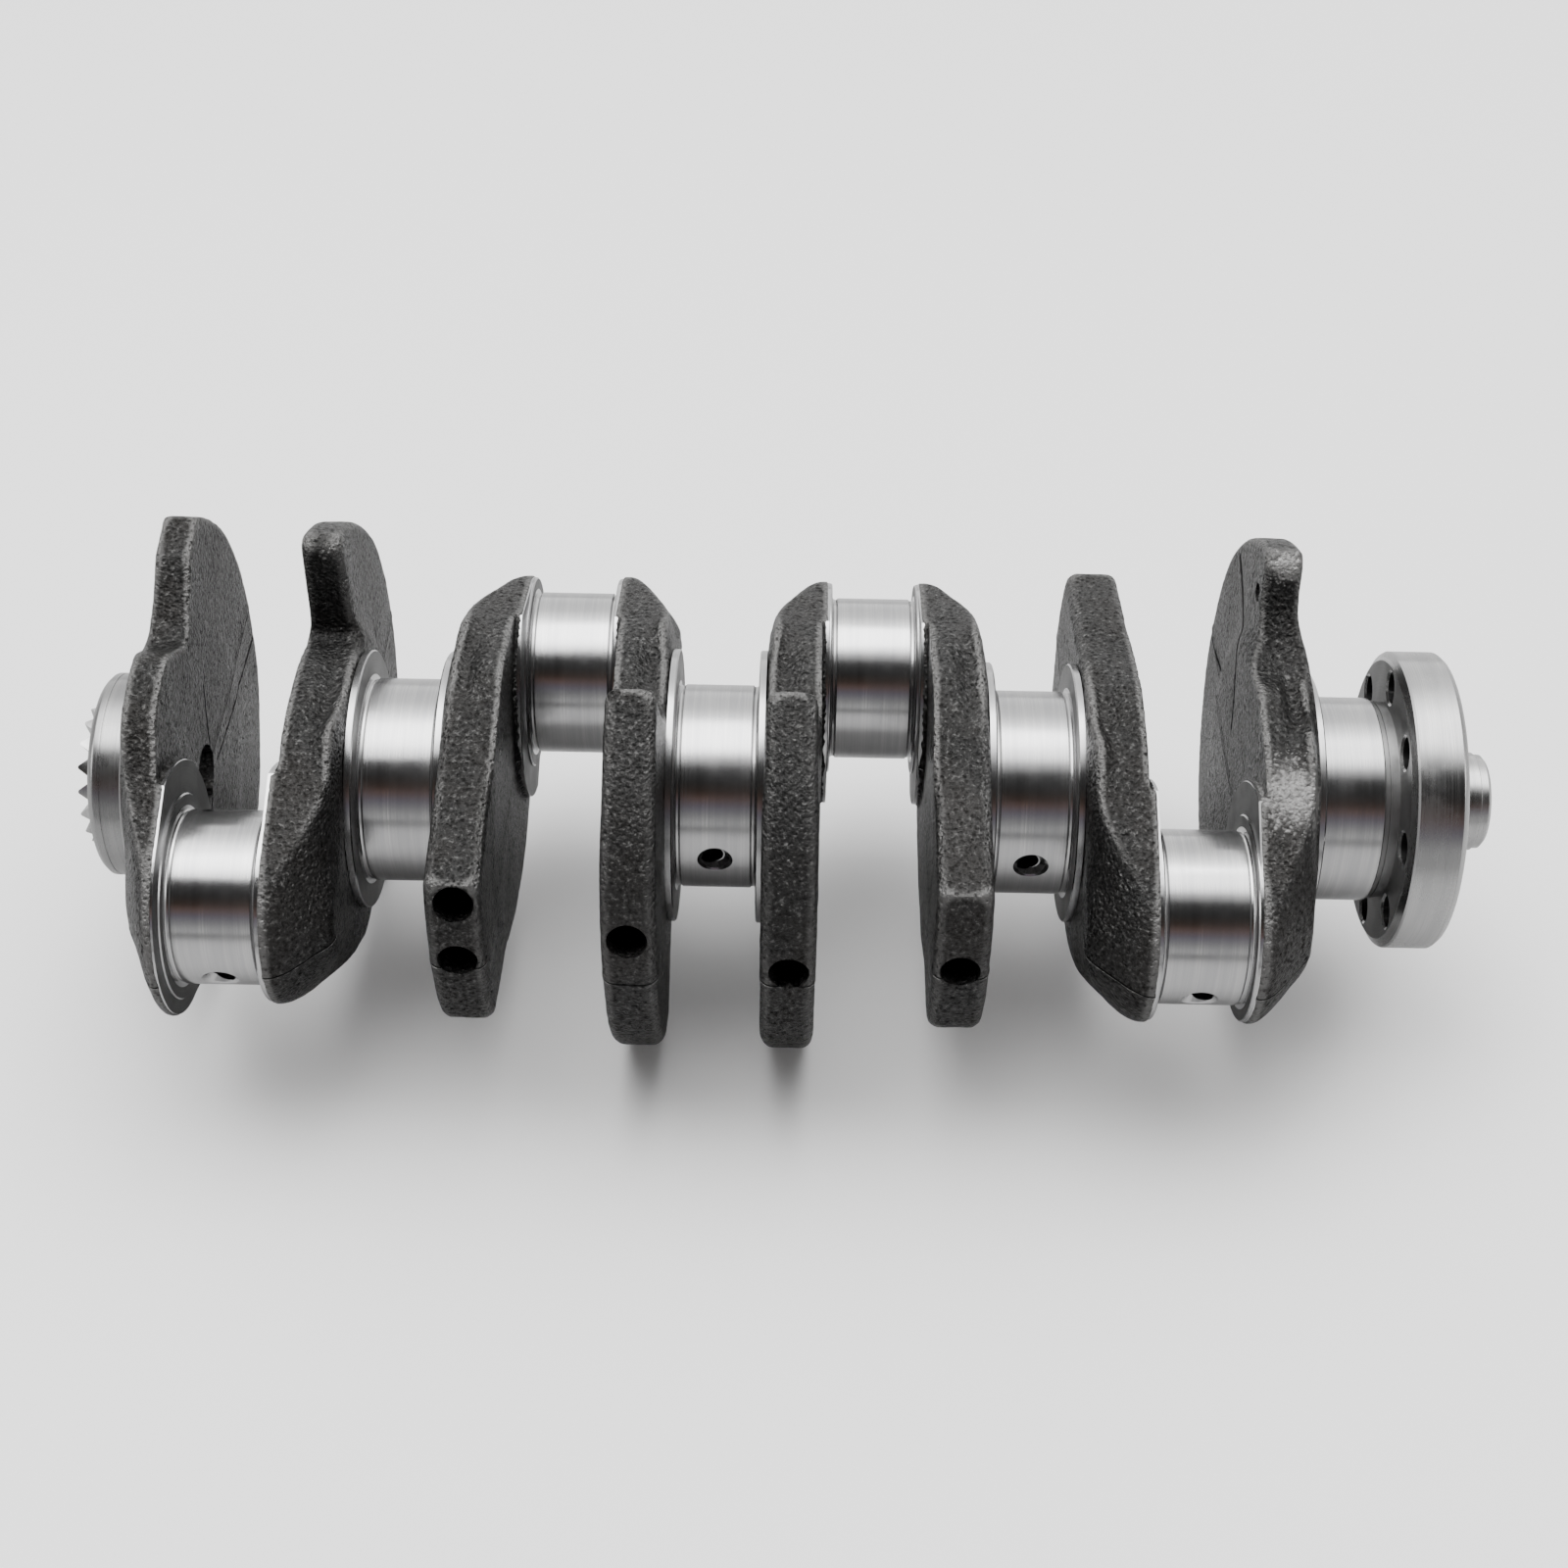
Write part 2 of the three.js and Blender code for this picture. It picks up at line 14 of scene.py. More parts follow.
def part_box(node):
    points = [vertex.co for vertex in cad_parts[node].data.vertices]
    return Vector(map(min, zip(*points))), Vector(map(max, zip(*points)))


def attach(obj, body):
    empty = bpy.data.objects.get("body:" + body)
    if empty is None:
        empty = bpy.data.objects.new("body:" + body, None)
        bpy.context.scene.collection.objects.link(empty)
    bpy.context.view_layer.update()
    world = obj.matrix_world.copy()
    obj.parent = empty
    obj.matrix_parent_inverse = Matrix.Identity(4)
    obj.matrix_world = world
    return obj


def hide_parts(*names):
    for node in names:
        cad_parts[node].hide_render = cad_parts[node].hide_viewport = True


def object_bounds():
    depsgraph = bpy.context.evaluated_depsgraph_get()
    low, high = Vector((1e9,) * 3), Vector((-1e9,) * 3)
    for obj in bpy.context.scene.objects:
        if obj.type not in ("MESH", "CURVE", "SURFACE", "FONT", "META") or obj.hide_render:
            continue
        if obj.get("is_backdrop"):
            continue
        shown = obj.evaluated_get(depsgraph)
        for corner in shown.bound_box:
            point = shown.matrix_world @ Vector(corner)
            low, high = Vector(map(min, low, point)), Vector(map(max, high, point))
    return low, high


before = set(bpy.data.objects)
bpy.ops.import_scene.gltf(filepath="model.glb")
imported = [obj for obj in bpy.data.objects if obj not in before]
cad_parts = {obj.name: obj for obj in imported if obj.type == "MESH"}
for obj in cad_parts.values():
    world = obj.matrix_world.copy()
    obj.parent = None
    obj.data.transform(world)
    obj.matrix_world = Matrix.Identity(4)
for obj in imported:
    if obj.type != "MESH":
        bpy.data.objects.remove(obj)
cad_low, cad_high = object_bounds()
print("CAD box in mm:", [round(v * 1000, 1) for v in (*cad_low, *cad_high)])

# %% [markdown]
# Where things are comes from the CAD nodes' boxes, so nothing has to be fitted by eye.
# A few sizes that a box can't tell, such as the stroke or a journal's diameter, are
# repeated here in millimetres, as a drawing would give them.

# %% Stations and sizes, in millimetres
MM = 0.001
THROW = 46.4
MAIN_R, PIN_R = 29.0, 23.9
MAIN_COLLAR_R, THRUST_COLLAR_R, COLLAR = 37.0, 39.0, 2.0
PIN_SHOULDER_R, PIN_SHOULDER = 28.3, 0.8
CHEEK_R, CHEEK = 37.5, 1.8
MAIN_UNDERCUT, PIN_UNDERCUT, GROOVE = 1.8, 1.7, 0.5
ROUND = 192


def node_span(node):
    low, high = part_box(node)
    return low.x / MM, high.x / MM


pin_x = {k: sum(node_span(f"crankpin_{k}")) / 2 for k in (1, 2, 3, 4)}
pin_half = (node_span("crankpin_1")[1] - node_span("crankpin_1")[0]) / 2
pin_side = {1: -1, 2: 1, 3: 1, 4: -1}
main_span = {k: node_span(f"main_journal_{k}") for k in (1, 2, 3, 4, 5)}
front_x, web1_x = main_span[1]
web8_x, flange_x = main_span[5]
flange_rear = node_span("rear_flange")[1]
rear_x = node_span("pilot_spigot")[1]
print("pins at", [round(v, 1) for v in pin_x.values()], "cheek to cheek", round(2 * pin_half, 1))

# %% [markdown]
# The camera stands above and in front of the shaft and looks down on it at about 45
# degrees, with a normal lens. It could be aimed with a constraint, but a fixed matrix
# gives the same picture every time and needs nothing else in the scene.

# %% Camera
CAMERA_DISTANCE = 0.6940
CAMERA_ELEVATION = 0.7952
CAMERA_X = 0.0028
LENS, SENSOR = 55.51, 36.0
YAW, PITCH, ROLL = 0.0056, -0.0013, 0.0205


def turn(pitch, yaw, roll):
    about_x = Matrix.Rotation(pitch, 3, "X")
    about_y = Matrix.Rotation(yaw, 3, "Y")
    about_z = Matrix.Rotation(roll, 3, "Z")
    return about_z @ about_y @ about_x


se, ce = math.sin(CAMERA_ELEVATION), math.cos(CAMERA_ELEVATION)
base = Matrix(((1, 0, 0), (0, -se, -ce), (0, ce, -se)))
axes = turn(PITCH, YAW, ROLL) @ base
camera = bpy.data.objects.new("camera", bpy.data.cameras.new("camera"))
bpy.context.scene.collection.objects.link(camera)
camera.data.lens = LENS
camera.data.sensor_width = SENSOR
camera.data.clip_start = 0.01
columns = Matrix((axes[0], -axes[1], -axes[2])).transposed().to_4x4()
place = Vector((CAMERA_X, -CAMERA_DISTANCE * ce, CAMERA_DISTANCE * se))
camera.matrix_world = Matrix.Translation(place) @ columns
bpy.context.scene.camera = camera
print("camera at", [round(v, 3) for v in camera.location])

# %% [markdown]
# The shaft lies on a plain pale floor. Its ground journals are mirrors bent round the X
# axis, so what they look like is the room: a bright ceiling, pale walls, and a dark gap
# towards the viewer that draws the dark band along every journal. Cards and flags could
# make that room, but they would stand in the way of other views, so a sky shader does it:
# its brightness depends on the angle round the X axis.

# %% Floor and studio
FLOOR_SIZE = 8.0
floor_mesh = bpy.data.meshes.new("studio_floor")
half = FLOOR_SIZE / 2
corners = [(-half, -half, 0), (half, -half, 0), (half, half, 0), (-half, half, 0)]
floor_mesh.from_pydata(corners, [], [(0, 1, 2, 3)])
floor = bpy.data.objects.new("studio_floor", floor_mesh)
floor.location.z = cad_low.z - 0.0004
bpy.context.scene.collection.objects.link(floor)
floor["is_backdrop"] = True


def new_material(name):
    made = bpy.data.materials.new(name)
    made.use_nodes = True
    tree = made.node_tree
    return made, tree, tree.nodes["Principled BSDF"]


def ramp(tree, stops, kind="LINEAR"):
    node = tree.nodes.new("ShaderNodeValToRGB")
    node.color_ramp.interpolation = kind
    elements = node.color_ramp.elements
    while len(elements) < len(stops):
        elements.new(0.5)
    for element, (position, colour) in zip(elements, stops):
        element.position = position
        element.color = (*colour, 1)
    return node


def maths(tree, operation, *values):
    node = tree.nodes.new("ShaderNodeMath")
    node.operation = operation
    for socket, value in zip(node.inputs, values):
        if isinstance(value, (int, float)):
            socket.default_value = value
        else:
            tree.links.new(value, socket)
    return node.outputs[0]


def grey(value):
    return (value, value, value)


paint, tree, surface = new_material("pale_floor")
depth_of_floor = tree.nodes.new("ShaderNodeSeparateXYZ")
tree.links.new(tree.nodes.new("ShaderNodeTexCoord").outputs["Object"], depth_of_floor.inputs[0])
towards = maths(tree, "MULTIPLY_ADD", depth_of_floor.outputs["Y"], 1.0, 1.0)
# painted shade for reflections only: the floor grows darker towards the viewer
painted_mirror_shade = ramp(tree, [(0.25, grey(0.15)), (0.76, grey(0.46))], "EASE")
tree.links.new(towards, painted_mirror_shade.inputs[0])
# painted reflection shade: steel mirrors a darker floor than the eye sees, darker still towards the
# viewer, as it would on a small table in a dark room
floor_with_painted_mirror_shade = tree.nodes.new("ShaderNodeMix")
floor_with_painted_mirror_shade.data_type = "RGBA"
in_mirror = tree.nodes.new("ShaderNodeLightPath").outputs["Is Glossy Ray"]
tree.links.new(in_mirror, floor_with_painted_mirror_shade.inputs["Factor"])
floor_with_painted_mirror_shade.inputs[6].default_value = (*grey(0.92), 1)
tree.links.new(painted_mirror_shade.outputs["Color"], floor_with_painted_mirror_shade.inputs[7])
tree.links.new(floor_with_painted_mirror_shade.outputs[2], surface.inputs["Base Color"])
surface.inputs["Roughness"].default_value = 0.7
surface.inputs["Specular IOR Level"].default_value = 0.2
floor_mesh.materials.append(paint)

STUDIO_STRENGTH = 2.0
CEILING = 2.7
END_WALLS = 0.36
world = bpy.data.worlds.new("studio")
bpy.context.scene.world = world
world.use_nodes = True
tree = world.node_tree
links = tree.links
direction = tree.nodes.new("ShaderNodeTexCoord").outputs["Generated"]
split = tree.nodes.new("ShaderNodeSeparateXYZ")
links.new(direction, split.inputs[0])
minus_y = maths(tree, "MULTIPLY", split.outputs["Y"], -1.0)
angle = maths(tree, "ARCTAN2", split.outputs["Z"], minus_y)
# 0 is level towards the viewer, a half is straight up and 1 is level behind the shaft
share = maths(tree, "DIVIDE", angle, math.pi)
sky = ramp(tree, [
    (0.00, grey(0.16)),
    (0.06, grey(0.08)),
    (0.12, (0.040, 0.037, 0.048)),
    (0.165, (0.042, 0.027, 0.023)),
    (0.205, (0.012, 0.008, 0.006)),
    (0.27, grey(0.006)),
    (0.365, grey(0.008)),
    (0.425, grey(0.17)),
    (0.475, grey(0.75)),
    (0.52, grey(1.0)),
    (0.64, grey(1.0)),
    (0.71, grey(0.55)),
    (0.79, grey(0.32)),
    (0.90, grey(0.29)),
    (0.96, grey(0.33)),
    (1.00, grey(0.36)),
])
links.new(share, sky.inputs[0])
sideways = maths(tree, "ABSOLUTE", split.outputs["X"])
to_end = tree.nodes.new("ShaderNodeMapRange")
to_end.interpolation_type = "SMOOTHSTEP"
to_end.inputs["From Min"].default_value = 0.45
to_end.inputs["From Max"].default_value = 0.85
links.new(sideways, to_end.inputs["Value"])
mixed = tree.nodes.new("ShaderNodeMix")
mixed.data_type = "RGBA"
links.new(to_end.outputs["Result"], mixed.inputs["Factor"])
links.new(sky.outputs["Color"], mixed.inputs[6])
mixed.inputs[7].default_value = (*grey(END_WALLS / CEILING), 1)
backdrop = tree.nodes["Background"]
links.new(mixed.outputs[2], backdrop.inputs["Color"])
backdrop.inputs["Strength"].default_value = CEILING * STUDIO_STRENGTH


def soft_light(name, power, size, at):
    """A rectangular lamp that looks at the middle of the shaft."""
    lamp = bpy.data.lights.new(name, "AREA")
    lamp.shape = "RECTANGLE"
    lamp.size, lamp.size_y = size
    lamp.energy = power
    made = bpy.data.objects.new(name, lamp)
    aim = (-Vector(at)).to_track_quat("-Z", "Y")
    made.matrix_world = Matrix.Translation(at) @ aim.to_matrix().to_4x4()
    bpy.context.scene.collection.objects.link(made)


soft_light("key_softbox", 9.0, (1.3, 0.6), (-0.2, 0.15, 1.25))
soft_light("left_softbox", 2.4, (0.5, 0.5), (-1.1, -0.15, 0.45))
soft_light("right_softbox", 1.8, (0.5, 0.5), (1.1, -0.10, 0.45))

# %% [markdown]
# Turned and ground pieces are bodies of revolution. A Screw modifier on a curve would do,
# but writing the rings as a mesh keeps every edge where the drawing has it, and lets the
# script mark the sharp ones. Each profile is a list of (x, radius) pairs in millimetres.

# %% A lathe for turned and ground pieces
SHARP_ANGLE = math.radians(28)


def mesh_object(name, vertices, faces, at=(0, 0, 0)):
    mesh = bpy.data.meshes.new(name)
    mesh.from_pydata([tuple(v) for v in vertices], [], faces)
    mesh.validate()
    mesh.shade_smooth()
    made = bpy.data.objects.new(name, mesh)
    made.location = Vector(at) * MM
    bpy.context.scene.collection.objects.link(made)
    return made


def lathe(name, profile, centre=(0, 0, 0), steps=ROUND):
    """A closed ring or bar turned about the X axis through centre, profile relative to it."""
    rings = [(x, r) for x, r in profile]
    hollow = all(r > 0 for x, r in rings)
    angles = np.linspace(0, 2 * math.pi, steps, endpoint=False)
    vertices, starts = [], []
    for x, r in rings:
        starts.append(len(vertices))
        if r == 0:
            vertices.append((x * MM, 0, 0))
        else:
            ring = ((x * MM, r * MM * math.cos(a), r * MM * math.sin(a)) for a in angles)
            vertices.extend(ring)
    faces = []
    pairs = list(zip(range(len(rings)), range(1, len(rings))))
    if hollow:
        pairs.append((len(rings) - 1, 0))
    for i, j in pairs:
        for s in range(steps):
            n = (s + 1) % steps
            a, b = starts[i], starts[j]
            if rings[i][1] == 0:
                faces.append((a, b + n, b + s))
            elif rings[j][1] == 0:
                faces.append((a + s, a + n, b))
            else:
                faces.append((a + s, a + n, b + n, b + s))
    made = mesh_object(name, vertices, faces, centre)
    made.data.set_sharp_from_angle(angle=SHARP_ANGLE)
    return made


# %% [markdown]
# Holes are cut with round cutters, and pieces are trimmed by the same boolean step. The
# exact solver leaves clean rims, and the cutters are removed once they have done their work.

# %% Drilling and trimming, by boolean cuts
CUTTER_STEPS = 48


def rod(name, start, end, radius, end_radius=None):
    """A round cutter from start to end, in millimetres."""
    start, end = Vector(start), Vector(end)
    length = (end - start).length
    second = radius if end_radius is None else end_radius
    made = lathe(name, [(0, 0), (0, radius), (length, second), (length, 0)],
                 steps=CUTTER_STEPS)
    aim = (end - start).to_track_quat("X", "Z").to_matrix().to_4x4()
    made.matrix_world = Matrix.Translation(start * MM) @ aim
    return made


def carve(piece, cutters, operation="DIFFERENCE"):
    for cutter in cutters:
        step = piece.modifiers.new("carve", "BOOLEAN")
        step.object = cutter
        step.operation = operation
        step.solver = "EXACT"
    bpy.context.view_layer.update()
    graph = bpy.context.evaluated_depsgraph_get()
    result = bpy.data.meshes.new_from_object(piece.evaluated_get(graph))
    piece.modifiers.clear()
    piece.data = result
    for cutter in cutters:
        bpy.data.objects.remove(cutter)
    result.shade_smooth()
    result.set_sharp_from_angle(angle=SHARP_ANGLE)
    return piece


pieces = {}


def keep(piece, nodes, slot, *finishes):
    """Puts a finished piece on the shaft in place of its CAD nodes."""
    kinds = np.array([face.material_index for face in piece.data.polygons])
    piece.data.materials.clear()
    for finish in finishes:
        piece.data.materials.append(finish)
    kinds = np.minimum(kinds, len(finishes) - 1)
    piece.data.polygons.foreach_set("material_index", kinds.astype(np.int32))
    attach(piece, "root")
    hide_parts(*nodes)
    pieces[piece.name] = piece
    print(piece.name, len(piece.data.vertices), "vertices")

# %% [markdown]
# Three effects turn up in more than one finish, so each is a node group that is built once:
# the rings that a grinding wheel or a lathe tool leaves, the pitted grain of blasted
# forgings, and the uneven film of oil and handling that every bare steel face carries.
# The groups put out plain masks and heights; the shader itself stays in each material.

# %% Node helpers
def new_group(name, inputs, outputs):
    group = bpy.data.node_groups.new(name, "ShaderNodeTree")
    for label, default in inputs:
        kind = "NodeSocketVector" if default is None else "NodeSocketFloat"
        socket = group.interface.new_socket(label, in_out="INPUT", socket_type=kind)
        if default is not None:
            socket.default_value = default
    for label in outputs:
        group.interface.new_socket(label, in_out="OUTPUT", socket_type="NodeSocketFloat")
    return group, group.nodes.new("NodeGroupInput").outputs, group.nodes.new("NodeGroupOutput").inputs


def place_group(tree, group, **values):
    node = tree.nodes.new("ShaderNodeGroup")
    node.node_tree = group
    for label, value in values.items():
        socket = node.inputs[label.replace("_", " ")]
        if isinstance(value, (int, float)):
            socket.default_value = value
        else:
            tree.links.new(value, socket)
    return node.outputs


def noise_value(tree, vector, scale, detail=3.0, roughness=0.55):
    node = tree.nodes.new("ShaderNodeTexNoise")
    node.inputs["Detail"].default_value = detail
    node.inputs["Roughness"].default_value = roughness
    tree.links.new(vector, node.inputs["Vector"])
    if isinstance(scale, (int, float)):
        node.inputs["Scale"].default_value = scale
    else:
        tree.links.new(scale, node.inputs["Scale"])
    return node.outputs["Fac"]


def spread(tree, value, low, high, to_low=0.0, to_high=1.0):
    node = tree.nodes.new("ShaderNodeMapRange")
    node.interpolation_type = "SMOOTHSTEP"
    tree.links.new(value, node.inputs["Value"])
    numbers = (low, high, to_low, to_high)
    labels = ("From Min", "From Max", "To Min", "To Max")
    for label, number in zip(labels, numbers):
        if isinstance(number, (int, float)):
            node.inputs[label].default_value = number
        else:
            tree.links.new(number, node.inputs[label])
    return node.outputs["Result"]


def blend_colour(tree, factor, first, second):
    node = tree.nodes.new("ShaderNodeMix")
    node.data_type = "RGBA"
    tree.links.new(factor, node.inputs["Factor"])
    for socket, value in ((node.inputs[6], first), (node.inputs[7], second)):
        if isinstance(value, tuple):
            socket.default_value = (*value, 1)
        else:
            tree.links.new(value, socket)
    return node.outputs[2]


# %% Group: rings left by grinding and turning
ring_marks, given, wanted = new_group(
    "ring_marks", [("Point", None), ("Rings per metre", 6000.0), ("Round", 30.0)],
    ["Fine", "Broad"])
split = ring_marks.nodes.new("ShaderNodeSeparateXYZ")
ring_marks.links.new(given["Point"], split.inputs[0])
for label, coarser in (("Fine", 1.0), ("Broad", 0.07)):
    along = maths(ring_marks, "MULTIPLY", split.outputs["X"], given["Rings per metre"])
    along = maths(ring_marks, "MULTIPLY", along, coarser)
    join = ring_marks.nodes.new("ShaderNodeCombineXYZ")
    ring_marks.links.new(along, join.inputs["X"])
    for axis in ("Y", "Z"):
        across = maths(ring_marks, "MULTIPLY", split.outputs[axis], given["Round"])
        ring_marks.links.new(across, join.inputs[axis])
    ring_marks.links.new(noise_value(ring_marks, join.outputs[0], 1.0, 2.0), wanted[label])

# %% Group: the grain of a blasted forging
forged_grain, given, wanted = new_group(
    "forged_grain", [("Point", None), ("Grains per metre", 900.0)],
    ["Height", "Pits and painted pit shade", "Peaks for painted glints", "Patches"])
size = given["Grains per metre"]
fine = noise_value(forged_grain, given["Point"], size, 5.0, 0.62)
coarse = noise_value(forged_grain, given["Point"], maths(forged_grain, "MULTIPLY", size, 0.22))
cells = forged_grain.nodes.new("ShaderNodeTexVoronoi")
cells.feature = "SMOOTH_F1"
forged_grain.links.new(given["Point"], cells.inputs["Vector"])
forged_grain.links.new(size, cells.inputs["Scale"])
pits = spread(forged_grain, cells.outputs["Distance"], 0.05, 0.5)
both = maths(forged_grain, "ADD", fine, maths(forged_grain, "MULTIPLY", pits, 0.35))
both = maths(forged_grain, "ADD", both, maths(forged_grain, "MULTIPLY", coarse, 0.5))
forged_grain.links.new(both, wanted["Height"])
forged_grain.links.new(spread(forged_grain, fine, 0.34, 0.5, 1.0, 0.0), wanted["Pits and painted pit shade"])
forged_grain.links.new(spread(forged_grain, fine, 0.54, 0.68), wanted["Peaks for painted glints"])
patches = noise_value(forged_grain, given["Point"], maths(forged_grain, "MULTIPLY", size, 0.03))
forged_grain.links.new(spread(forged_grain, patches, 0.35, 0.65), wanted["Patches"])

# %% Group: a film of oil and handling
oil_film, given, wanted = new_group(
    "oil_film", [("Point", None), ("Smears per metre", 60.0)], ["Film"])
smears = noise_value(oil_film, given["Point"], given["Smears per metre"], 4.0, 0.6)
oil_film.links.new(spread(oil_film, smears, 0.38, 0.66), wanted["Film"])


def object_point(tree):
    return tree.nodes.new("ShaderNodeTexCoord").outputs["Object"]


def bump(tree, height, surface, distance):
    node = tree.nodes.new("ShaderNodeBump")
    node.inputs["Distance"].default_value = distance
    node.inputs["Strength"].default_value = 1.0
    tree.links.new(height, node.inputs["Height"])
    tree.links.new(node.outputs[0], surface.inputs["Normal"])


def steel_with_rings(name, bright, dull, rough, rings, depth, film=0.10):
    """Machined steel: rings round the X axis in colour, gloss and height."""
    made, tree, surface = new_material(name)
    point = object_point(tree)
    marks = place_group(tree, ring_marks, Point=point, Rings_per_metre=rings, Round=25.0)
    smear = place_group(tree, oil_film, Point=point)["Film"]
    tone = blend_colour(tree, spread(tree, marks["Broad"], 0.3, 0.7), bright, dull)
    shade = blend_colour(tree, spread(tree, marks["Fine"], 0.25, 0.75), tone, dull)
    tree.links.new(shade, surface.inputs["Base Color"])
    gloss = spread(tree, marks["Fine"], 0.25, 0.75, rough, rough * 1.5)
    gloss = maths(tree, "ADD", gloss, maths(tree, "MULTIPLY", smear, film))
    tree.links.new(gloss, surface.inputs["Roughness"])
    surface.inputs["Metallic"].default_value = 1.0
    bump(tree, marks["Fine"], surface, depth)
    return made


ground_steel = steel_with_rings(
    "ground_steel", (0.52, 0.517, 0.51), (0.40, 0.40, 0.405), 0.15, 7000.0, 0.000006, 0.05)
polished_pin = steel_with_rings(
    "polished_pin_steel", (0.53, 0.527, 0.52), (0.42, 0.42, 0.425), 0.14, 8000.0, 0.000005, 0.05)
turned_steel = steel_with_rings(
    "turned_steel", (0.50, 0.497, 0.49), (0.38, 0.38, 0.38), 0.16, 3500.0, 0.000008)
nose_steel = steel_with_rings(
    "turned_nose_steel", (0.34, 0.338, 0.332), (0.26, 0.26, 0.26), 0.17, 4500.0, 0.000008)
# drilled bores: a rougher drilled finish, with a near-black colour that is painted shade inside the holes
drilled_steel_painted_shade = steel_with_rings(
    "drilled_steel_painted_shade", (0.060, 0.0595, 0.058), (0.030, 0.030, 0.030), 0.38, 2500.0, 0.000020)


def faced_steel(name, centre_arc, bright, dull):
    """A face milled or turned flat: fine arcs round the piece's own axis, nearly matt."""
    made, tree, surface = new_material(name)
    point = object_point(tree)
    split = tree.nodes.new("ShaderNodeSeparateXYZ")
    tree.links.new(point, split.inputs[0])
    across = maths(tree, "POWER", split.outputs["Y"], 2.0)
    across = maths(tree, "ADD", across, maths(tree, "POWER", split.outputs["Z"], 2.0))
    radius = maths(tree, "SQRT", across)
    join = tree.nodes.new("ShaderNodeCombineXYZ")
    tree.links.new(radius, join.inputs["X"])
    marks = place_group(tree, ring_marks, Point=join.outputs[0],
                        Rings_per_metre=centre_arc, Round=0.0)
    smear = place_group(tree, oil_film, Point=point, Smears_per_metre=80.0)["Film"]
    tone = blend_colour(tree, spread(tree, marks["Fine"], 0.25, 0.75), bright, dull)
    tree.links.new(tone, surface.inputs["Base Color"])
    tree.links.new(spread(tree, smear, 0.0, 1.0, 0.34, 0.44), surface.inputs["Roughness"])
    surface.inputs["Specular Tint"].default_value = (0.5, 0.5, 0.5, 1)
    surface.inputs["Metallic"].default_value = 1.0
    bump(tree, marks["Fine"], surface, 0.000012)
    return made


milled_cheek = faced_steel("milled_cheek_steel", 2600.0, (0.26, 0.26, 0.26), (0.18, 0.18, 0.182))
turned_face = faced_steel("turned_face_steel", 3200.0, (0.34, 0.34, 0.338), (0.25, 0.25, 0.25))
print("node groups:", [g.name for g in bpy.data.node_groups])


def flat_faces(piece, from_radius):
    """Gives the second finish to faces that lie square to the X axis outside a radius."""
    for face in piece.data.polygons:
        reach = math.hypot(face.center.y, face.center.z) / MM
        square = abs(face.normal.x) > 0.9 and reach > from_radius
        face.material_index = 1 if square else 0

# %% [markdown]
# The webs are as forged and shot-blasted: a dark, pitted skin with a half gloss, a little
# brighter where edges have been knocked, and a thin line round every web where the two
# dies met. The line lies on the plane of the throws, so its mask is the height above it.

# %% Finish: forged skin
def vector_maths(tree, operation, first, second, output=0):
    node = tree.nodes.new("ShaderNodeVectorMath")
    node.operation = operation
    for socket, value in zip(node.inputs, (first, second)):
        if isinstance(value, (Vector, tuple)):
            socket.default_value = value
        else:
            tree.links.new(value, socket)
    return node.outputs[output]


SHALLOW = Vector((0.4, 1, 1))


def seam(tree, point, start, end, width):
    """A mask, 1 on the line from start to end (metres) and 0 beyond width from it.

    Depth along X counts for less, so the line still shows where the face swells.
    """
    start, end = (Vector(a * b for a, b in zip(at, SHALLOW)) for at in (start, end))
    along = end - start
    off = vector_maths(tree, "SUBTRACT", vector_maths(tree, "MULTIPLY", point, SHALLOW), start)
    dot = vector_maths(tree, "DOT_PRODUCT", off, along, 1)
    clamp = tree.nodes.new("ShaderNodeClamp")
    tree.links.new(maths(tree, "DIVIDE", dot, along.dot(along)), clamp.inputs[0])
    nearest = vector_maths(tree, "MULTIPLY", clamp.outputs[0], along)
    gap = vector_maths(tree, "DISTANCE", off, nearest, 1)
    return spread(tree, gap, width * 0.35, width, 1.0, 0.0)


def rubbed_patch(tree, point, height, centre, radius):
    """A mask, 1 near centre (metres) and 0 beyond radius, with an edge broken by the grain."""
    near = vector_maths(tree, "DISTANCE", point, centre, 1)
    ragged = maths(tree, "MULTIPLY", maths(tree, "SUBTRACT", height, 0.9), radius)
    reach = maths(tree, "ADD", near, ragged)
    return spread(tree, reach, radius * 0.55, radius, 1.0, 0.0)


GRAINS_PER_METRE, GRAIN_DEPTH = 850.0, 0.00085
PARTING_WANDER, PARTING_CORE, PARTING_EDGE = 0.0006, 0.00012, 0.00055


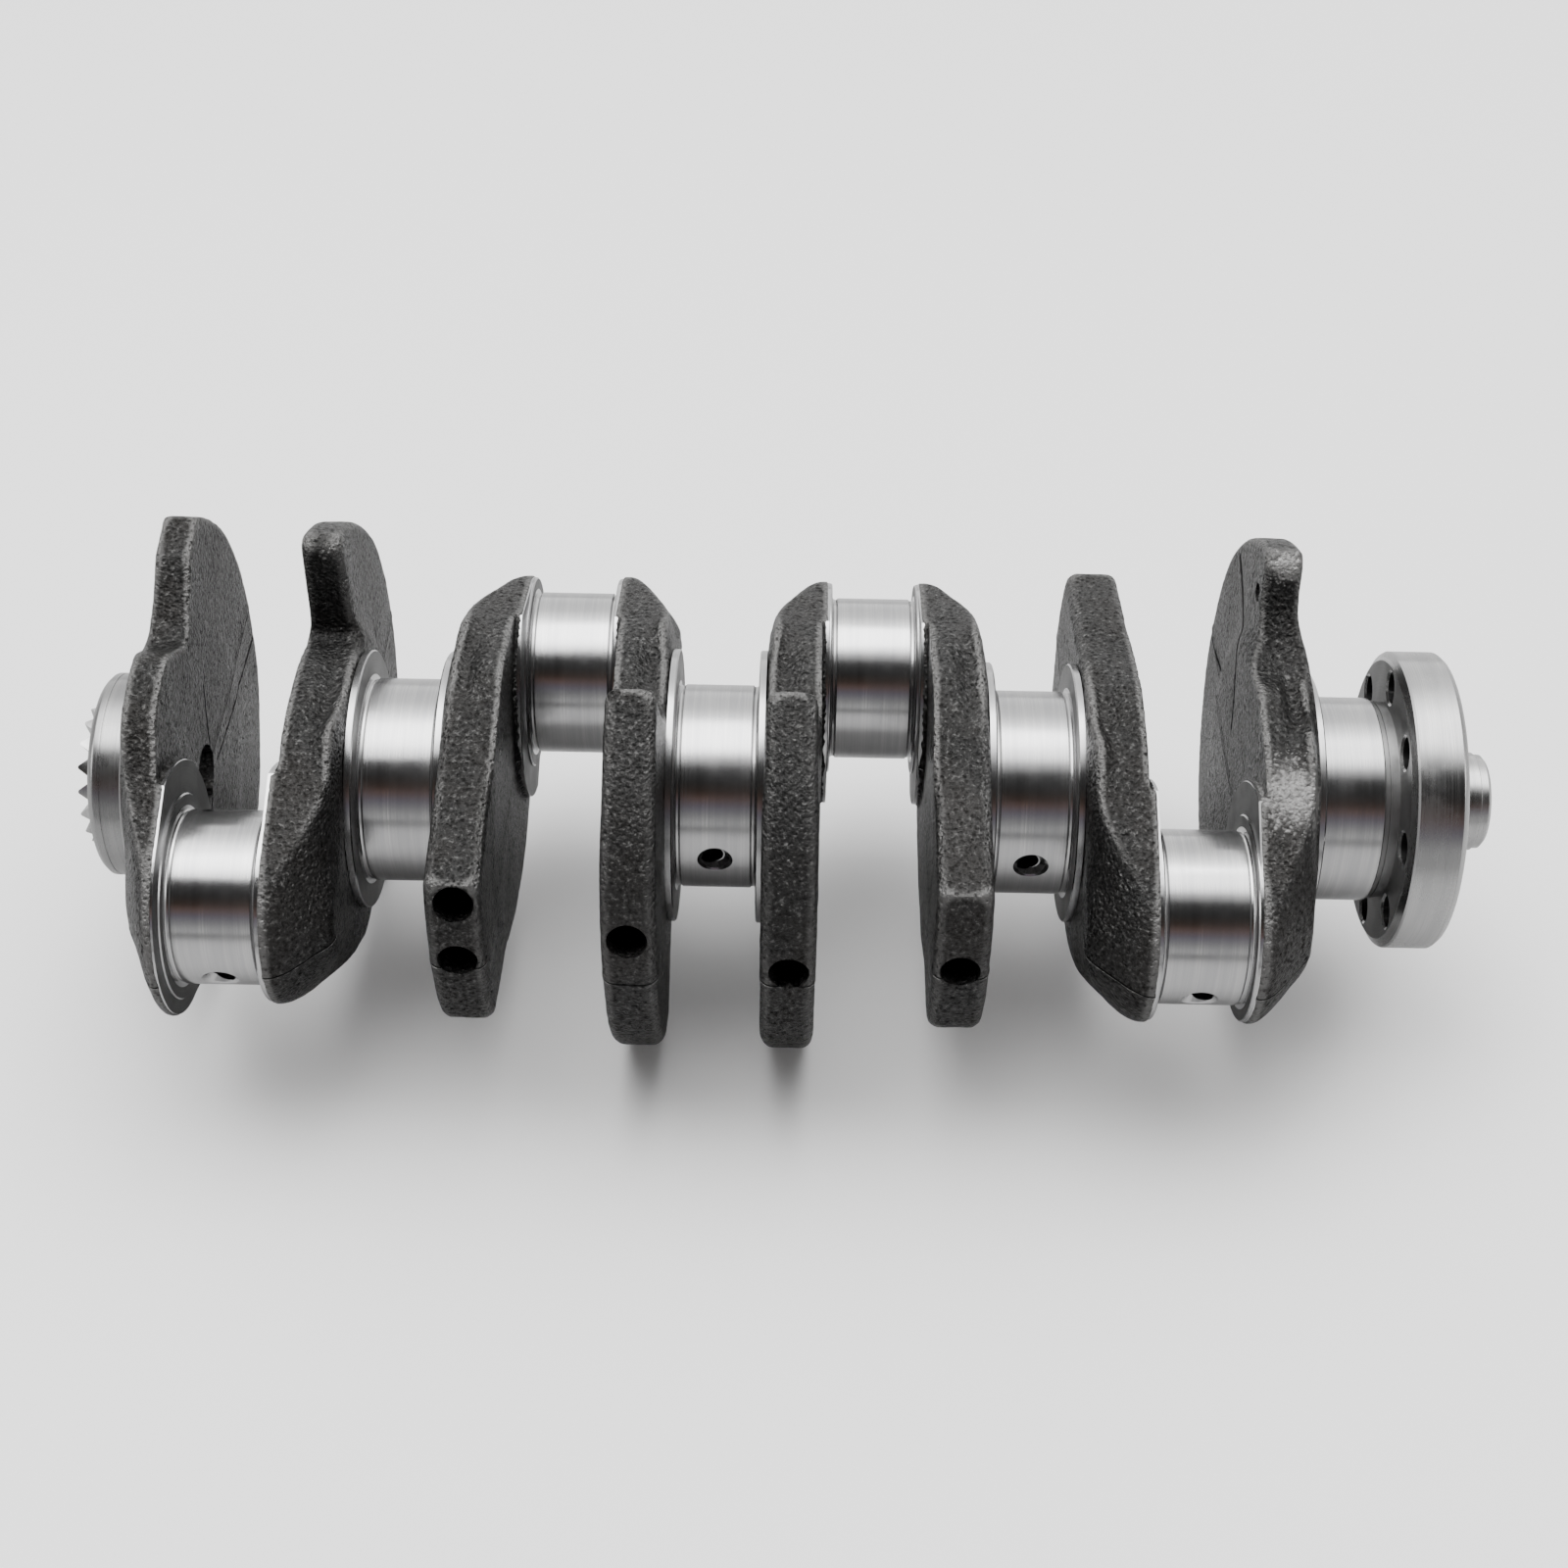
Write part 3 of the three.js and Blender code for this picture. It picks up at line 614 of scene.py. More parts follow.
def forged_skin(name, seams=(), worn=()):
    """Dark, grained steel with its parting line, any drawn seams, any rubbed patches, painted shade in
    the grain's pits and painted glints on its peaks.
    """
    made, tree, surface = new_material(name)
    point = object_point(tree)
    grain = place_group(tree, forged_grain, Point=point, Grains_per_metre=GRAINS_PER_METRE)
    film = place_group(tree, oil_film, Point=point, Smears_per_metre=45.0)["Film"]
    edge = tree.nodes.new("ShaderNodeAttribute")
    edge.attribute_name = "edge"
    edge = edge.outputs["Fac"]
    split = tree.nodes.new("ShaderNodeSeparateXYZ")
    tree.links.new(point, split.inputs[0])
    wander = maths(tree, "MULTIPLY", maths(tree, "SUBTRACT", grain["Patches"], 0.5), PARTING_WANDER)
    level = maths(tree, "ABSOLUTE", maths(tree, "ADD", split.outputs["Z"], wander))
    mask = spread(tree, level, PARTING_CORE, PARTING_EDGE, 1.0, 0.0)
    for start, end, width in seams:
        mask = maths(tree, "MAXIMUM", mask, seam(tree, point, start, end, width))
    bright = spread(tree, edge, 0.35, 1.0, 0.0, 0.45)
    bright = maths(tree, "MULTIPLY", bright, spread(tree, grain["Height"], 0.55, 1.0))
    for centre, radius in worn:
        patch = rubbed_patch(tree, point, grain["Height"], centre, radius)
        bright = maths(tree, "MAXIMUM", bright, patch)
    skin = blend_colour(tree, grain["Patches"], (0.028, 0.0278, 0.0273), (0.042, 0.0416, 0.041))
    # painted shade: the grain's pits, its low places, are darkened in colour
    skin = blend_colour(tree, maths(tree, "MULTIPLY", grain["Pits and painted pit shade"], 0.75), skin, (0.010, 0.0099, 0.0096))
    # painted glints: the grain's peaks are lightened in colour, standing in for specular highlights
    skin = blend_colour(tree, maths(tree, "MULTIPLY", grain["Peaks for painted glints"], 0.7), skin, (0.15, 0.149, 0.146))
    skin = blend_colour(tree, maths(tree, "MULTIPLY", film, 0.25), skin, (0.026, 0.022, 0.019))
    skin = blend_colour(tree, bright, skin, (0.26, 0.257, 0.252))
    skin = blend_colour(tree, maths(tree, "MULTIPLY", mask, 0.8), skin, (0.012, 0.012, 0.012))
    tree.links.new(skin, surface.inputs["Base Color"])
    gloss = spread(tree, grain["Pits and painted pit shade"], 0.0, 1.0, 0.27, 0.40)
    gloss = maths(tree, "ADD", gloss, maths(tree, "MULTIPLY", grain["Patches"], 0.08))
    tree.links.new(gloss, surface.inputs["Roughness"])
    surface.inputs["Metallic"].default_value = 0.92
    # the specular tint is lowered in the pits as painted shade on their reflections, and lowest on the
    # seams
    painted_pit_shade_and_seam_tint = blend_colour(tree, grain["Pits and painted pit shade"], (0.80, 0.80, 0.80), (0.35, 0.35, 0.35))
    painted_pit_shade_and_seam_tint = blend_colour(tree, mask, painted_pit_shade_and_seam_tint, (0.05, 0.05, 0.05))
    tree.links.new(painted_pit_shade_and_seam_tint, surface.inputs["Specular Tint"])
    height = maths(tree, "SUBTRACT", grain["Height"], maths(tree, "MULTIPLY", mask, 1.6))
    bump(tree, height, surface, GRAIN_DEPTH)
    return made


# seams and patches are in each web's own metres: depth from its pin's cheek, then Y and Z
MARK = 0.0009
web1_face, web8_face = -0.0014, 0.0022
crossing = Vector((web1_face, 0.0053, -0.0049))
web1_seams = [
    ((web1_face, 0.0715, -0.0106), (web1_face, 0.0122, -0.0058), MARK),
    ((web1_face, 0.0136, 0.0224), crossing, MARK),
    (crossing, (web1_face, -0.0123, -0.0236), MARK),
]
web8_path = [(70.0, -1.8), (40.7, 5.1), (24.3, 6.8), (6.3, 8.7)]
web8_fold = [(54.0, 43.5), (43.0, 41.0), (27.0, 33.0), (15.0, 12.0)]
web8_seams = [
    ((web8_face, a[0] * MM, a[1] * MM), (web8_face, b[0] * MM, b[1] * MM), width)
    for path, width in ((web8_path, MARK), (web8_fold, MARK * 1.8))
    for a, b in zip(path, path[1:])
]
forged = forged_skin("forged_steel_skin")
forged_nose = forged_skin("forged_steel_nose_web", web1_seams)
forged_worn = forged_skin("forged_steel_worn_web", (), [((0.009, 0.021, 0.064), 0.0045)])
forged_rear = forged_skin("forged_steel_rear_web", web8_seams, [
    ((0.009, 0.024, 0.066), 0.0065),
    ((0.008, -0.033, 0.032), 0.0150),
])
skins = {1: forged_nose, 2: forged_worn, 8: forged_rear}

# %% [markdown]
# A journal is ground bright between two rolled grooves, and beside it stands a machined
# collar that the bearing shell runs against. One half profile is written once and mirrored.

# %% Main journals 1 to 5
def bearing_side(half_width, radius, undercut, collar_r, collar):
    """Half profile from the middle of a ground band out to the collar's outer face."""
    groove = [
        (half_width, radius),
        (half_width + undercut * 0.10, radius - GROOVE * 0.55),
        (half_width + undercut * 0.35, radius - GROOVE),
        (half_width + undercut * 0.65, radius - GROOVE * 0.75),
        (half_width + undercut * 0.86, radius - GROOVE * 0.05),
        (half_width + undercut, radius + undercut * 0.6),
    ]
    edge = 0.35
    return [
        *groove,
        (half_width + undercut, collar_r - edge),
        (half_width + undercut + edge, collar_r),
        (half_width + undercut + collar, collar_r),
    ]


def mirrored(side):
    return [(-x, r) for x, r in reversed(side)]


def band_rows(half_width, radius):
    return [(-half_width + 0.3, radius), (half_width - 0.3, radius)]


def capped(profile):
    return [(profile[0][0], 0), *profile, (profile[-1][0], 0)]


OIL_R, OIL_MOUTH_R = 3.0, 4.2
PIN_OIL_ANGLE = math.radians(20)
oil_runs = {2: 1, 3: 2, 4: 3, 5: 4}


def oilway(main):
    """The drilling from a main's far side to the outside of its pin: its two mouths."""
    pin = oil_runs[main]
    side = pin_side[pin]
    middle = (main - 3) * (pin_x[2] - pin_x[1]) + (pin_x[2] + pin_x[3]) / 2
    main_mouth = Vector((middle, -side * MAIN_R, 0))
    out = Vector((0, side * math.cos(PIN_OIL_ANGLE), side * math.sin(PIN_OIL_ANGLE)))
    pin_mouth = Vector((pin_x[pin], side * THROW, 0)) + out * PIN_R
    return main_mouth, Vector((0, -side, 0)), pin_mouth, out


def mouth_cutters(at, out, along):
    """A drilled hole with a countersunk and slightly dished mouth."""
    return [
        rod("drill", at - along * 14, at + along * 6, OIL_R),
        rod("countersink", at - out * 2.2, at + out * 1.2, OIL_R * 0.9, OIL_MOUTH_R + 1.4),
        rod("dish", at - out * 0.7, at + out * 1.2, OIL_MOUTH_R * 0.95, OIL_MOUTH_R + 2.4),
    ]


for k in (2, 3, 4):
    low, high = main_span[k]
    collar_r = THRUST_COLLAR_R if k == 3 else MAIN_COLLAR_R
    band = (high - low) / 2 - COLLAR - MAIN_UNDERCUT
    side = bearing_side(band, MAIN_R, MAIN_UNDERCUT, collar_r, COLLAR)
    profile = mirrored(side) + band_rows(band, MAIN_R) + side
    journal = lathe(f"ground_main_{k}", capped(profile), ((low + high) / 2, 0, 0))
    at, out, pin_at, _ = oilway(k)
    carve(journal, mouth_cutters(at, out, (at - pin_at).normalized()))
    flat_faces(journal, MAIN_R + 1)
    keep(journal, [f"main_journal_{k}"], "ground_journal", ground_steel, turned_face)

# the first main ends in the nose, with a broad chamfer and the bolt bore through it
FRONT_BORE_R = 9.0
low, high = main_span[1]
reach = high - low
nose = [
    (0, FRONT_BORE_R + 0.8),
    (0, MAIN_R - 1.6), (0.3, MAIN_R - 1.2), (1.5, MAIN_R - 0.1), (1.8, MAIN_R),
    (3.4, MAIN_R), (3.5, MAIN_R - 0.12), (3.7, MAIN_R - 0.12), (3.8, MAIN_R),
    *[(x + reach / 2, r) for x, r in bearing_side(
        reach / 2 - COLLAR - MAIN_UNDERCUT, MAIN_R, MAIN_UNDERCUT, MAIN_COLLAR_R, COLLAR)],
    (reach, FRONT_BORE_R), (0.8, FRONT_BORE_R),
]
journal = lathe("ground_main_1_nose", nose, (low, 0, 0))
flat_faces(journal, FRONT_BORE_R)
keep(journal, ["main_journal_1"], "ground_journal", nose_steel, turned_face)

# the last main runs on into a relieved neck and the flange
REAR_GROUND = 16.1
low, high = main_span[5]
band_start = COLLAR + MAIN_UNDERCUT
band_end = band_start + REAR_GROUND
left = [(x + band_start + REAR_GROUND / 2, r) for x, r in mirrored(
    bearing_side(REAR_GROUND / 2, MAIN_R, MAIN_UNDERCUT, MAIN_COLLAR_R, COLLAR))]
neck = [
    (band_start + 0.3, MAIN_R), (band_end - 0.3, MAIN_R), (band_end, MAIN_R - 0.2),
    (band_end + 0.25, MAIN_R - 1.0), (band_end + 1.4, MAIN_R - 1.05),
    (band_end + 1.5, MAIN_R - 0.7), (band_end + 2.2, MAIN_R - 0.7), (band_end + 2.3, MAIN_R - 1.05),
    (high - low, MAIN_R - 1.05),
]
journal = lathe("ground_main_5_neck", capped(left + neck), (low, 0, 0))
flat_faces(journal, MAIN_R + 1)
for face in journal.data.polygons:
    if face.center.x / MM > band_end:
        face.material_index = 1
keep(journal, ["main_journal_5"], "ground_journal", ground_steel, turned_face)

# %% [markdown]
# The face coupling on the nose is a ring of radial vee teeth. Each tooth is higher and
# wider at the outside, so its flanks all run to the shaft's axis. A grid in angle and
# radius follows them, and the crests are left a hair flat, as the real ones are.

# %% Face teeth on the nose
TEETH = 18
RING_IN, RING_OUT = 11.5, 20.0
TOOTH_HEIGHT, TOOTH_BASE = 3.8, 1.0
CREST_FLAT = 0.10


def tooth_wave(turns):
    share = abs((turns % 1.0) * 2 - 1)
    return min(max((share - CREST_FLAT) / (1 - 2 * CREST_FLAT), 0.0), 1.0)


per_tooth = 16
steps = TEETH * per_tooth
radii = np.linspace(RING_IN, RING_OUT, 7)
vertices, faces = [], []
for r in radii:
    for s in range(steps):
        a = 2 * math.pi * s / steps
        rise = TOOTH_BASE + TOOTH_HEIGHT * r / RING_OUT * tooth_wave(s / per_tooth + 0.5)
        vertices.append((-rise * MM, r * MM * math.cos(a), r * MM * math.sin(a)))
rows = len(radii)
for r in (RING_OUT, RING_IN):
    for s in range(steps):
        a = 2 * math.pi * s / steps
        vertices.append((0, r * MM * math.cos(a), r * MM * math.sin(a)))
for i in range(rows + 2):
    j = (i + 1) % (rows + 2)
    for s in range(steps):
        n = (s + 1) % steps
        faces.append((i * steps + s, j * steps + s, j * steps + n, i * steps + n))
teeth = mesh_object("face_teeth", vertices, faces, (front_x, 0, 0))
teeth.data.set_sharp_from_angle(angle=math.radians(24))
keep(teeth, ["front_serration"], "turned_end", turned_steel)

# %% [markdown]
# The flange carries the flywheel. It is turned all over, with eight bolt holes whose
# edges are countersunk on both faces. The centring cone, spigot and pilot bore follow it.

# %% Flange and spigot
FLANGE_R, FLANGE_BORE_R = 42.4, 20.5
BOLT_CIRCLE_R, BOLT_HOLE_R, BOLTS = 34.0, 4.5, 8
thick = flange_rear - flange_x
rim = [
    (0, FLANGE_BORE_R), (0, FLANGE_R - 2.6), (0.25, FLANGE_R - 2.1), (1.3, FLANGE_R - 0.35),
    (1.9, FLANGE_R), (thick - 1.7, FLANGE_R), (thick - 1.2, FLANGE_R - 0.3),
    (thick - 0.2, FLANGE_R - 1.2), (thick, FLANGE_R - 1.6), (thick, FLANGE_BORE_R),
]
flange = lathe("bolted_flange", rim, (flange_x, 0, 0), 256)
bolt_turns = [(i + 0.5) * 2 * math.pi / BOLTS for i in range(BOLTS)]
bolt_places = [(BOLT_CIRCLE_R * math.cos(a), BOLT_CIRCLE_R * math.sin(a)) for a in bolt_turns]
cutters = []
for y, z in bolt_places:
    start, end = (flange_x - 1, y, z), (flange_rear + 1, y, z)
    cutters.append(rod("bolt_drill", start, end, BOLT_HOLE_R))
    for face, inwards in ((flange_x, 1), (flange_rear, -1)):
        lip = (face - inwards * 0.5, y, z)
        cutters.append(rod("countersink", lip, (face + inwards * 0.8, y, z),
                           BOLT_HOLE_R + 1.1, BOLT_HOLE_R - 0.2))
carve(flange, cutters)
flat_faces(flange, FLANGE_BORE_R)
# the bolt holes' walls take the third finish, whose dark colour is painted shade inside the holes
for face in flange.data.polygons:
    at = (face.center.y / MM, face.center.z / MM)
    if abs(face.normal.x) < 0.9 and min(math.dist(at, b) for b in bolt_places) < BOLT_HOLE_R + 0.1:
        face.material_index = 2
keep(flange, ["rear_flange"], "turned_end", turned_steel, turned_face, drilled_steel_painted_shade)

SPIGOT_R, PILOT_R, PILOT_DEPTH, CONE = 14.0, 7.5, 20.0, 4.0
total = rear_x - flange_x
spigot_profile = [
    (0, 0), (0, FLANGE_BORE_R), (thick, FLANGE_BORE_R),
    (thick + 0.3, FLANGE_BORE_R - 0.15), (thick + CONE * 0.4, FLANGE_BORE_R - 2.2),
    (thick + CONE - 0.3, SPIGOT_R + 1.3), (thick + CONE, SPIGOT_R + 0.6),
    (thick + CONE + 0.4, SPIGOT_R - 0.4), (thick + CONE + 0.9, SPIGOT_R),
    (total - 3.2, SPIGOT_R), (total - 2.9, SPIGOT_R - 0.5), (total - 0.9, SPIGOT_R - 0.6),
    (total, SPIGOT_R - 1.6), (total, PILOT_R + 0.9), (total - 0.9, PILOT_R),
    (total - PILOT_DEPTH, PILOT_R), (total - PILOT_DEPTH - 3.0, 0),
]
spigot = lathe("cone_and_spigot", spigot_profile, (flange_x, 0, 0))
keep(spigot, ["pilot_spigot"], "turned_end", turned_steel)

# %% [markdown]
# The webs are the forged part. Their faces swell and sink, the round pin end melts into
# the hub, and no edge is sharp. Subdivision surfaces would need a cage drawn by hand for
# each of the eight; a distance field needs only each web's outline and how far its two
# faces lie back. Where the field is zero is the skin, and rounding, hollows and swells are
# plain sums. The outlines are half outlines in (p, q): p from the main axis towards the
# pin, q along Z, and corners are (p, q, rounding).

# %% Outlines of the webs
PIN_END = 29.0


def arc(centre, radius, start, end, steps):
    turns = np.radians(np.linspace(start, end, steps + 1))
    return [(centre + radius * math.cos(t), radius * math.sin(t), 0.0) for t in turns]


def rounded_outline(half):
    """Closes a half outline over the p axis and rounds its corners."""
    other = [(p, -q, r) for p, q, r in reversed(half) if abs(q) > 1e-6]
    corners = [*half, *other]
    out = []
    for i, (p, q, r) in enumerate(corners):
        here = np.array((p, q))
        if r == 0:
            out.append(here)
            continue
        before = np.array(corners[i - 1][:2]) - here
        after = np.array(corners[(i + 1) % len(corners)][:2]) - here
        sizes = np.linalg.norm(before), np.linalg.norm(after)
        cut = min(r, sizes[0] * 0.49, sizes[1] * 0.49)
        start, end = here + before / sizes[0] * cut, here + after / sizes[1] * cut
        for t in np.linspace(0, 1, 7):
            out.append(start * (1 - t) ** 2 + here * 2 * t * (1 - t) + end * t * t)
    return np.array(out)


def corners_of(points):
    return [(*point, 0.0)[:3] for point in points]


def arm_outline(form):
    """The arm where it meets the pin's cheek."""
    hub = arc(0, form["hub"], 100, 180, 12)
    return rounded_outline([*arc(THROW, form["end"], 0, 75, 14), *corners_of(form["arm"]), *hub])


def fan_outline(form):
    rim = arc(0, form["rim"], 180 - form["spread"], 180, 24)
    return rounded_outline([*corners_of(form["fan"]), *rim])


inner_web = dict(end=PIN_END, spine=(51, 12))
forms = {
    "first": dict(
        hub=40, end=PIN_END + 4, spine=(40, 18), thickness=10.8, edges=(0.5, 1.6),
        arm=[(30, 42, 10), (2, 43, 10)],
        fan=[(42, 28, 6), (31, 50, 9), (9, 55, 9), (-11, 40, 8), (-30, 57.5, 3)],
        rim=74, spread=54, inset=0.6, recess=1.2),
    "straight": dict(
        **inner_web, hub=38.5, edges=(2.6, 3.0),
        arm=[(19, 41, 12), (2, 39, 8)],
        fan=[(8, 36, 0), (-14, 33, 6), (-22, 34, 6), (-23.5, 66, 4)],
        rim=73.5, spread=68, inset=0.4, recess=2.2),
    "tongue": dict(
        **inner_web, hub=40, edges=(2.8, 3.6),
        arm=[(20, 40, 12), (2, 42, 10)],
        fan=[(8, 37, 0), (-34, 34, 10), (-57, 29, 5)],
        rim=70.5, spread=23, inset=0.4, recess=0.0),
    "middle": dict(
        **inner_web, hub=40, edges=(2.8, 3.6),
        arm=[(20, 40, 12), (2, 41, 8)],
        fan=[(8, 37, 0), (-10, 38, 8), (-18, 46, 6), (-29, 64, 5)],
        rim=74.5, spread=65, inset=0.5, recess=0.0),
    "last": dict(
        hub=41, end=PIN_END, spine=(44, 16), thickness=15.2, edges=(1.2, 2.4),
        arm=[(26, 43, 10), (2, 46, 10)],
        fan=[(8, 37, 0), (-8, 41, 8), (-20, 52, 6), (-24, 66, 4)],
        rim=74, spread=68, inset=2.0, recess=3.4),
}
webs = {
    1: ("first", 1, 1), 2: ("straight", 2, 1), 3: ("tongue", 2, 2), 4: ("middle", 3, 2),
    5: ("middle", 3, 3), 6: ("tongue", 4, 3), 7: ("tongue", 4, 4), 8: ("last", 5, 4),
}
print("web forms:", {n: w[0] for n, w in webs.items()})

# %% Distance fields
def outline_distance(outline, p, q):
    """How far each point of a grid lies outside a closed outline; negative inside."""
    nearest = np.full(p.shape, 1e9)
    inside = np.zeros(p.shape, bool)
    for a, b in zip(outline, np.roll(outline, -1, 0)):
        edge = b - a
        length = max(edge @ edge, 1e-12)
        share = np.clip(((p - a[0]) * edge[0] + (q - a[1]) * edge[1]) / length, 0, 1)
        gap = (p - a[0] - share * edge[0]) ** 2 + (q - a[1] - share * edge[1]) ** 2
        nearest = np.minimum(nearest, gap)
        spans = (a[1] > q) != (b[1] > q)
        if abs(edge[1]) > 1e-12:
            inside ^= spans & (p < edge[0] * (q - a[1]) / edge[1] + a[0])
    return np.where(inside, -1, 1) * np.sqrt(nearest)


def melt(a, b, reach):
    """The nearer of two fields, with the crease between them filled."""
    overlap = np.maximum(reach - np.abs(a - b), 0) / reach
    return np.minimum(a, b) - overlap * overlap * reach / 4


def ease(value, low, high):
    t = np.clip((value - low) / (high - low), 0, 1)
    return t * t * (3 - 2 * t)


# %% [markdown]
# The field is sampled on a grid. Each grid cell that the skin crosses gets one vertex, at the
# mean of its crossings, and each grid edge that the skin crosses gets one quad between cells.

# %% Skin: a mesh where a field crosses zero
def skin_of(values, low, step):
    """One vertex in each grid cell that the skin crosses, one quad across each edge."""
    solid = values < 0
    size = np.array(values.shape) - 1

    def cell(array, corner):
        a, b, c = corner
        return array[a:a + size[0], b:b + size[1], c:c + size[2]]

    corners = list(np.ndindex(2, 2, 2))
    count = sum(cell(solid, c).astype(int) for c in corners)
    crossed = (count > 0) & (count < 8)
    number = np.full(crossed.shape, -1)
    number[crossed] = np.arange(crossed.sum())
    place = np.zeros((crossed.sum(), 3))
    hits = np.zeros(crossed.sum())
    for a in corners:
        for axis in range(3):
            if a[axis]:
                continue
            b = list(a)
            b[axis] = 1
            first, second = cell(values, a)[crossed], cell(values, b)[crossed]
            cut = (first < 0) != (second < 0)
            here = np.tile(np.array(a, float), (len(first), 1))
            here[cut, axis] = first[cut] / (first[cut] - second[cut])
            place[cut] += here[cut]
            hits[cut] += 1
    points = low + (place / hits[:, None] + np.argwhere(crossed)) * step
    quads = []
    for axis in range(3):
        u, v = (axis + 1) % 3, (axis + 2) % 3
        one = [slice(1, -1)] * 3
        one[axis] = slice(0, -1)
        two = list(one)
        two[axis] = slice(1, None)
        here, there = solid[tuple(one)], solid[tuple(two)]
        ring = [(0, 0), (-1, 0), (-1, -1), (0, -1)]
        for leaving, order in ((here & ~there, ring), (~here & there, ring[::-1])):
            at = np.argwhere(leaving)
            at[:, u] += 1
            at[:, v] += 1
            quad = []
            for du, dv in order:
                near = at.copy()
                near[:, u] += du
                near[:, v] += dv
                quad.append(number[tuple(near.T)])
            quads.append(np.stack(quad, 1))
    return points, np.concatenate(quads)


# %% [markdown]
# A web's field is the greater of two: how far a point is outside the outline, and how far it
# is outside the two faces. The outline changes from the arm's at the pin to the hub's at the
# main journal, and the counterweight melts into both. Rounding is the field's own, at an edge.

# %% The field of one web
GRID = 1.0


def gauss(distance, width):
    return np.exp(-(distance / width) ** 2)


def web_field(form, depth):
    """The field over (a, p, q) in millimetres, a running from the pin's cheek to the hub."""
    a = np.arange(-4.0, depth + 4.0, GRID * 0.75)
    p = np.arange(-78.0, 82.0, GRID)
    q = np.arange(-74.0, 74.0 + GRID, GRID)
    P, Q = np.meshgrid(p, q, indexing="ij")
    arm_depth = form.get("thickness", depth)
    hub = np.hypot(P, Q)
    pin = np.hypot(P - THROW, Q)
    near_arm = outline_distance(arm_outline(form), P, Q)
    spine_to, spine_r = form["spine"]
    spine = np.hypot(P - np.clip(P, 0, spine_to), Q) - spine_r
    far_arm = melt(hub - form["hub"], spine, 12.0)
    fan = outline_distance(fan_outline(form), P, Q)
    in_fan = ease(near_arm, 1.0, 9.0) * ease(-P, -12.0, 6.0)
    near = form["inset"] * in_fan + 0.02 * np.maximum(np.abs(Q) - 34, 0)
    milled = ease(-pin, -CHEEK_R - 0.6, -CHEEK_R + 0.2) * (1 - in_fan)
    near = near + 0.25 - (CHEEK + 0.1) * milled
    far = arm_depth + (depth - form["recess"] - arm_depth) * in_fan
    far = far - 0.02 * np.maximum(np.abs(Q) - 34, 0)
    if "thickness" in form:
        boss = ease(-hub, -form["hub"] - 16.0, -form["hub"] + 3.0)
        far = far + (depth - far) * boss
    ridge = 0.97 - 0.90 * ease(P, 32.0, 72.0)
    around = ease(np.abs(Q), 14.0, 30.0)
    waist_at = gauss(P - 5.0, 12.0) * around
    shoulder_at = gauss(P - 23.0, 8.0) * around
    near_soft, far_soft = form["edges"]
    field = np.empty((len(a), *P.shape))
    for i, here in enumerate(a):
        share = here / arm_depth
        s = ease(share, ridge - 0.10, np.maximum(ridge + 0.12, 1.10))
        arm = near_arm * (1 - s) + far_arm * s
        arm = arm + 4.2 * waist_at * gauss(share - 0.68, 0.2)
        arm = arm - 2.4 * shoulder_at * gauss(share - 0.84, 0.18)
        outline = melt(arm, fan, 7.0)
        faces = np.maximum(near - here, here - far)
        pin_edge = 0.5 + near_soft * in_fan
        soft = np.where(here - near < far - here, pin_edge, far_soft)
        x, y = outline + soft, faces + soft
        field[i] = np.minimum(np.maximum(x, y), 0) - soft
        field[i] += np.hypot(np.maximum(x, 0), np.maximum(y, 0))
    return field, np.array((a[0], p[0], q[0])), np.array((GRID * 0.75, GRID, GRID))


EDGE_SMOOTHING, EDGE_BEND = 4, 220.0


def edge_mask(mesh):
    """How convex the skin is at each vertex, kept as the attribute that edge wear reads."""
    n, e = len(mesh.vertices), len(mesh.edges)
    places, normals = np.empty(n * 3), np.empty(n * 3)
    mesh.vertices.foreach_get("co", places)
    mesh.vertex_normals.foreach_get("vector", normals)
    ends = np.empty(e * 2, int)
    mesh.edges.foreach_get("vertices", ends)
    places, normals, ends = places.reshape(-1, 3), normals.reshape(-1, 3), ends.reshape(-1, 2)
    i, j = ends.T
    gap = places[j] - places[i]
    bend = ((normals[j] - normals[i]) * gap).sum(1) / np.maximum((gap * gap).sum(1), 1e-12)
    links = np.maximum(np.bincount(i, minlength=n) + np.bincount(j, minlength=n), 1)
    value = (np.bincount(i, bend, n) + np.bincount(j, bend, n)) / links
    for _ in range(EDGE_SMOOTHING):
        value = (np.bincount(i, value[j], n) + np.bincount(j, value[i], n)) / links
    value = np.clip(value / EDGE_BEND, -1, 1)
    attribute = mesh.attributes.new("edge", "FLOAT", "POINT")
    attribute.data.foreach_set("value", value.astype(np.float32))


def rough_up(mesh, seed):
    """The uneven hand of the die: slow swells and small lumps, along each normal."""
    shift = Vector((seed * 3.7, seed * 1.9, seed * 5.3))
    for vertex, normal in zip(mesh.vertices, [n.vector.copy() for n in mesh.vertex_normals]):
        at = vertex.co / MM
        slow = noise.noise(at * 0.045 + shift)
        lumps = noise.noise(at * 0.30 + shift)
        flash = math.exp(-(at.z / 0.9) ** 2)
        vertex.co += normal * (slow * 0.30 + lumps * 0.10 + flash * 0.22 - 0.12) * MM


